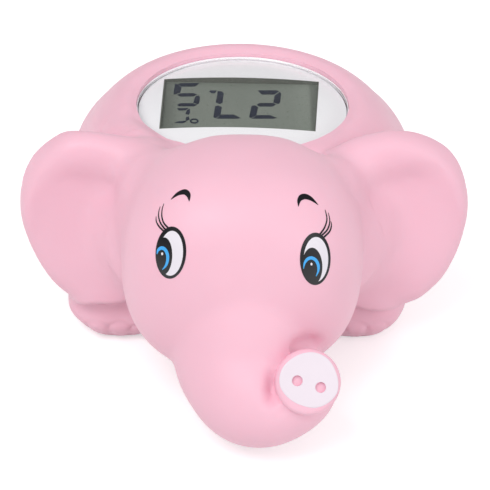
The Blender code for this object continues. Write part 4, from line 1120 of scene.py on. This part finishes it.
def lens_finish():
    """Clear cover that bends what is seen through it, and lets light straight through to the film."""
    made = finish("clear_cover", (0.985, 0.988, 0.99), 0.04, cloud=20.0, grain=900.0, shade=0.005, play=0.01,
                  bump=0.01, Transmission_Weight=1.0, IOR=LENS_INDEX, Specular_Tint=(*[GLOSS_TINT] * 3, 1))
    graph = made.node_tree
    path = add(graph, "LightPath")
    mixed = add(graph, "MixShader")
    passing = combined(graph, "MAXIMUM", path.outputs["Is Shadow Ray"], path.outputs["Is Diffuse Ray"])
    graph.links.new(passing, mixed.inputs["Fac"])
    graph.links.new(graph.nodes["Principled BSDF"].outputs["BSDF"], mixed.inputs[1])
    graph.links.new(add(graph, "BsdfTransparent").outputs["BSDF"], mixed.inputs[2])
    graph.links.new(mixed.outputs["Shader"], graph.nodes["Material Output"].inputs["Surface"])
    return made


# Build

skin = make_skin()
vinyl = finish(
    "pink_vinyl_soft", linear(242, 190, 207), 0.50, cloud=45.0, grain=3200.0, shade=0.022, play=0.07,
    bump=0.22, depth=0.03, Subsurface_Weight=0.12, Subsurface_Radius=(1.0, 0.45, 0.45),
    Subsurface_Scale=1.2 * MM, Sheen_Weight=0.06, Sheen_Roughness=0.45)
keep_with_root(skin, vinyl)
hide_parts("elephant_skin")
tree = rays_on(skin)

printed = {"grain": 2600.0, "play": 0.05, "bump": 0.08}
ink = finish("ink_black", linear(20, 20, 26), 0.38, cloud=120.0, shade=0.10, **printed)
white_ink = finish("ink_white", linear(230, 225, 233), 0.42, cloud=90.0, shade=0.02, **printed)
blue_ink = finish("ink_blue", linear(64, 170, 240), 0.38, cloud=90.0, shade=0.05, **printed)
for name, eye in (("left", LEFT_EYE), ("right", RIGHT_EYE)):
    centre, radii, lean = eye["oval"]
    iris = inside_oval(oval(*eye["iris"]), centre, [value - IRIS_MARGIN for value in radii], lean)
    glint = oval(eye["glint"], GLINT_RADII, 0.0, 3, 20)
    prints = [
        ("_eye_edge", oval(centre, radii, lean), EDGE_LIFT, True, ink),
        ("_eye_white", oval(*eye["white"]), WHITE_LIFT, True, white_ink),
        ("_iris", iris, IRIS_LIFT, True, ink),
        ("_iris_blue", stroke(eye["crescent"]), BLUE_LIFT, False, blue_ink),
        ("_glint", glint, GLINT_LIFT, True, white_ink)]
    for number, lash in enumerate(eye["lashes"], 1):
        prints.append(("_lash_%d" % number, stroke(lash), LINE_LIFT, False, ink))
    prints.append(("_brow", stroke(eye["brow"]), LINE_LIFT, False, ink))
    for ending, rows, lift, closed, paint in prints:
        keep_with_root(grow_sheet(name + ending, rows, tree, lift, closed), paint)

bm = bmesh.new()
reaches = polar_outline(PRINT_OUTLINE)
levels = [(share, PRINT_TOP) for share in (0.0, 0.5, 0.93, 0.985)]
for vert in lathe(bm, levels + [(1.0, PRINT_SIDE), (1.0, PRINT_ROOT), (0.0, PRINT_ROOT)], 96):
    reach = reach_at(reaches, math.atan2(vert.co.y, vert.co.x)) * MM
    vert.co = (vert.co.x * reach + PRINT_OFFSET.x, vert.co.y * reach + PRINT_OFFSET.y, vert.co.z)
bmesh.ops.transform(bm, matrix=SNOUT, verts=bm.verts)
snout_print = carve(from_bmesh("snout_print", bm), nostrils(-0.05 * MM), "DIFFERENCE")
snout_print.data.set_sharp_from_angle(angle=math.radians(40))
paint = finish("snout_white", linear(233, 222, 231), 0.42, cloud=80.0, grain=2600.0, shade=0.015, play=0.05,
               bump=0.1)
keep_with_root(snout_print, paint)

figures = finish("figure_ink", linear(20, 30, 52), 0.35, cloud=150.0, grain=2600.0, shade=0.08, play=0.04,
                 bump=0.04)
keep_with_root(make_digits(), figures)

casing = finish("pod_casing", linear(232, 232, 236), 0.42, cloud=70.0, grain=2200.0, shade=0.02, bump=0.2)
steel = finish("bright_steel", (0.60, 0.60, 0.61), 0.26, cloud=400.0, grain=5200.0, shade=0.06, bump=0.1,
               Metallic=1.0)
brass = finish("nickelled_spring", (0.66, 0.62, 0.52), 0.34, cloud=300.0, grain=4200.0, shade=0.08,
               Metallic=1.0)
rubber = finish("black_seal", (0.03, 0.03, 0.03), 0.72, cloud=200.0, grain=3800.0, shade=0.15, bump=0.3)
dress(["upper_case", "lower_case", "battery_door"], casing)
dress(["lcd_frame"], casing)
dress(["case_gasket", "door_seal", "contact_strip", "stud_washer_1", "stud_washer_2"], rubber)
screws = ["case_screw_%d" % k for k in (1, 2, 3, 4)] + ["board_screw_%d" % k for k in (1, 2, 3)]
screws += ["door_screw_1", "door_screw_2", "sensor_cap", "contact_stud_1", "contact_stud_2"]
dress(screws, steel)
dress(["coin_cell"], steel)
dress(["contact_minus", "contact_plus", "clock_crystal"], brass)
board = finish("board_lacquer", (0.05, 0.25, 0.10), 0.45, cloud=300.0, shade=0.15)
dress(["circuit_board"], board)
dress(["chip_blob"], finish("poured_epoxy", (0.03, 0.03, 0.035), 0.35, cloud=300.0, shade=0.2))
dress(["capacitor_1", "capacitor_2"], finish("tan_body", (0.55, 0.42, 0.30), 0.5, cloud=500.0))
dress(["thermistor_bead"], finish("bead_glaze", (0.35, 0.10, 0.05), 0.2, cloud=500.0))
tinned = finish("tinned_wire", (0.70, 0.68, 0.66), 0.38, cloud=500.0, Metallic=1.0)
dress(["thermistor_lead_1", "thermistor_lead_2"], tinned)
sleeving = finish("white_wire", (0.9, 0.9, 0.88), 0.5, cloud=400.0)
dress(["stud_wire_1", "stud_wire_2"], sleeving)
dress(["wire_plus"], finish("red_wire", (0.55, 0.03, 0.03), 0.45, cloud=400.0))
dark = finish("black_wire", (0.02, 0.02, 0.02), 0.45, cloud=400.0, shade=0.2)
dress(["wire_minus"], dark)
glass = glass_finish()
dress(["lcd_cell"], glass)
keep_with_root(make_sheet(), glass)
pearl = finish("pearl_print", linear(252, 252, 255), 0.32, cloud=25.0, grain=1500.0, shade=0.012, play=0.04,
               bump=0.04, Coat_Weight=0.4, Coat_Roughness=0.12)
film = keep_with_root(make_film(), pearl)
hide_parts("lens_mask")
cover = keep_with_root(make_cover(), lens_finish())
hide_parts("display_lens")
keep_with_root(make_edge(), pearl)
# the liner's dark grey paints the shade under the window's edge
liner = finish("liner_grey_painted_shade", linear(96, 100, 92), 0.6, cloud=200.0, grain=2600.0, shade=0.06)
keep_with_root(make_liner(), liner)

# Floor, light and camera

FLOOR_HALF = 8.0
FLOOR_TONE = 0.76
FLOOR_GLOW = 0.48        # what the camera and gloss see on top of the lit floor
WORLD_LIGHT = 0.69       # strength on the object, where the camera sees 1
WORLD_IN_GLOSS = 0.22    # share of the world that gloss shows
LAMPS = [                # place and width in metres, and power in watts
    ("key", (-0.36, -0.45, 0.85), 0.55, 3.95),
    ("fill", (0.6, -0.5, 0.45), 0.6, 1.5)]
LAMP_TARGET = Vector((0, 0, 0.02))
SENSOR = 36.0

bm = bmesh.new()
bmesh.ops.create_grid(bm, x_segments=1, y_segments=1, size=FLOOR_HALF)
floor = from_bmesh("floor", bm, smooth=False)
floor.location.z = -0.02 * MM
ground = bpy.data.materials.new("floor_white")
ground.use_nodes = True
graph = ground.node_tree
shader = graph.nodes["Principled BSDF"]
set_values(shader, {"Base Color": (FLOOR_TONE, FLOOR_TONE, FLOOR_TONE, 1), "Roughness": 0.9})
path = add(graph, "LightPath")
glow = add(graph, "Emission", Color=(1, 1, 1, 1))
seen = combined(graph, "MAXIMUM", path.outputs["Is Camera Ray"], path.outputs["Is Glossy Ray"])
graph.links.new(combined(graph, "MULTIPLY", seen, FLOOR_GLOW), glow.inputs["Strength"])
both = add(graph, "AddShader")
graph.links.new(shader.outputs["BSDF"], both.inputs[0])
graph.links.new(glow.outputs["Emission"], both.inputs[1])
graph.links.new(both.outputs["Shader"], graph.nodes["Material Output"].inputs["Surface"])
floor.data.materials.append(ground)

sky = bpy.data.worlds.new("studio")
bpy.context.scene.world = sky
sky.use_nodes = True
graph = sky.node_tree
light = graph.nodes["Background"]
light.inputs["Color"].default_value = (1, 1, 1, 1)
path = add(graph, "LightPath")
seen = combined(graph, "MAXIMUM", path.outputs["Is Camera Ray"], path.outputs["Is Transmission Ray"])
level = spread(graph, seen, WORLD_LIGHT, 1.0, (0.0, 1.0))
dim = spread(graph, path.outputs["Is Glossy Ray"], 1.0, WORLD_IN_GLOSS, (0.0, 1.0))
graph.links.new(combined(graph, "MULTIPLY", level, dim), light.inputs["Strength"])

for name, place, size, power in LAMPS:
    data = bpy.data.lights.new(name, "AREA")
    data.shape = "DISK"
    data.size = size
    data.energy = power
    lamp = bpy.data.objects.new(name, data)
    bpy.context.scene.collection.objects.link(lamp)
    lamp.location = place
    lamp.visible_transmission = False
    lamp.rotation_euler = (LAMP_TARGET - Vector(place)).to_track_quat("-Z", "Y").to_euler()

lens = bpy.data.cameras.new("camera")
lens.sensor_width = SENSOR
lens.lens = FOCUS * SENSOR / WIDE
lens.clip_start = 0.01
lens.clip_end = 50.0
camera = bpy.data.objects.new("camera", lens)
bpy.context.scene.collection.objects.link(camera)
camera.matrix_world = Matrix.Translation(EYE) @ Matrix((RIGHT, UP, BACK)).transposed().to_4x4()
bpy.context.scene.camera = camera
bpy.context.scene.view_settings.view_transform = "Standard"

bpy.context.view_layer.update()
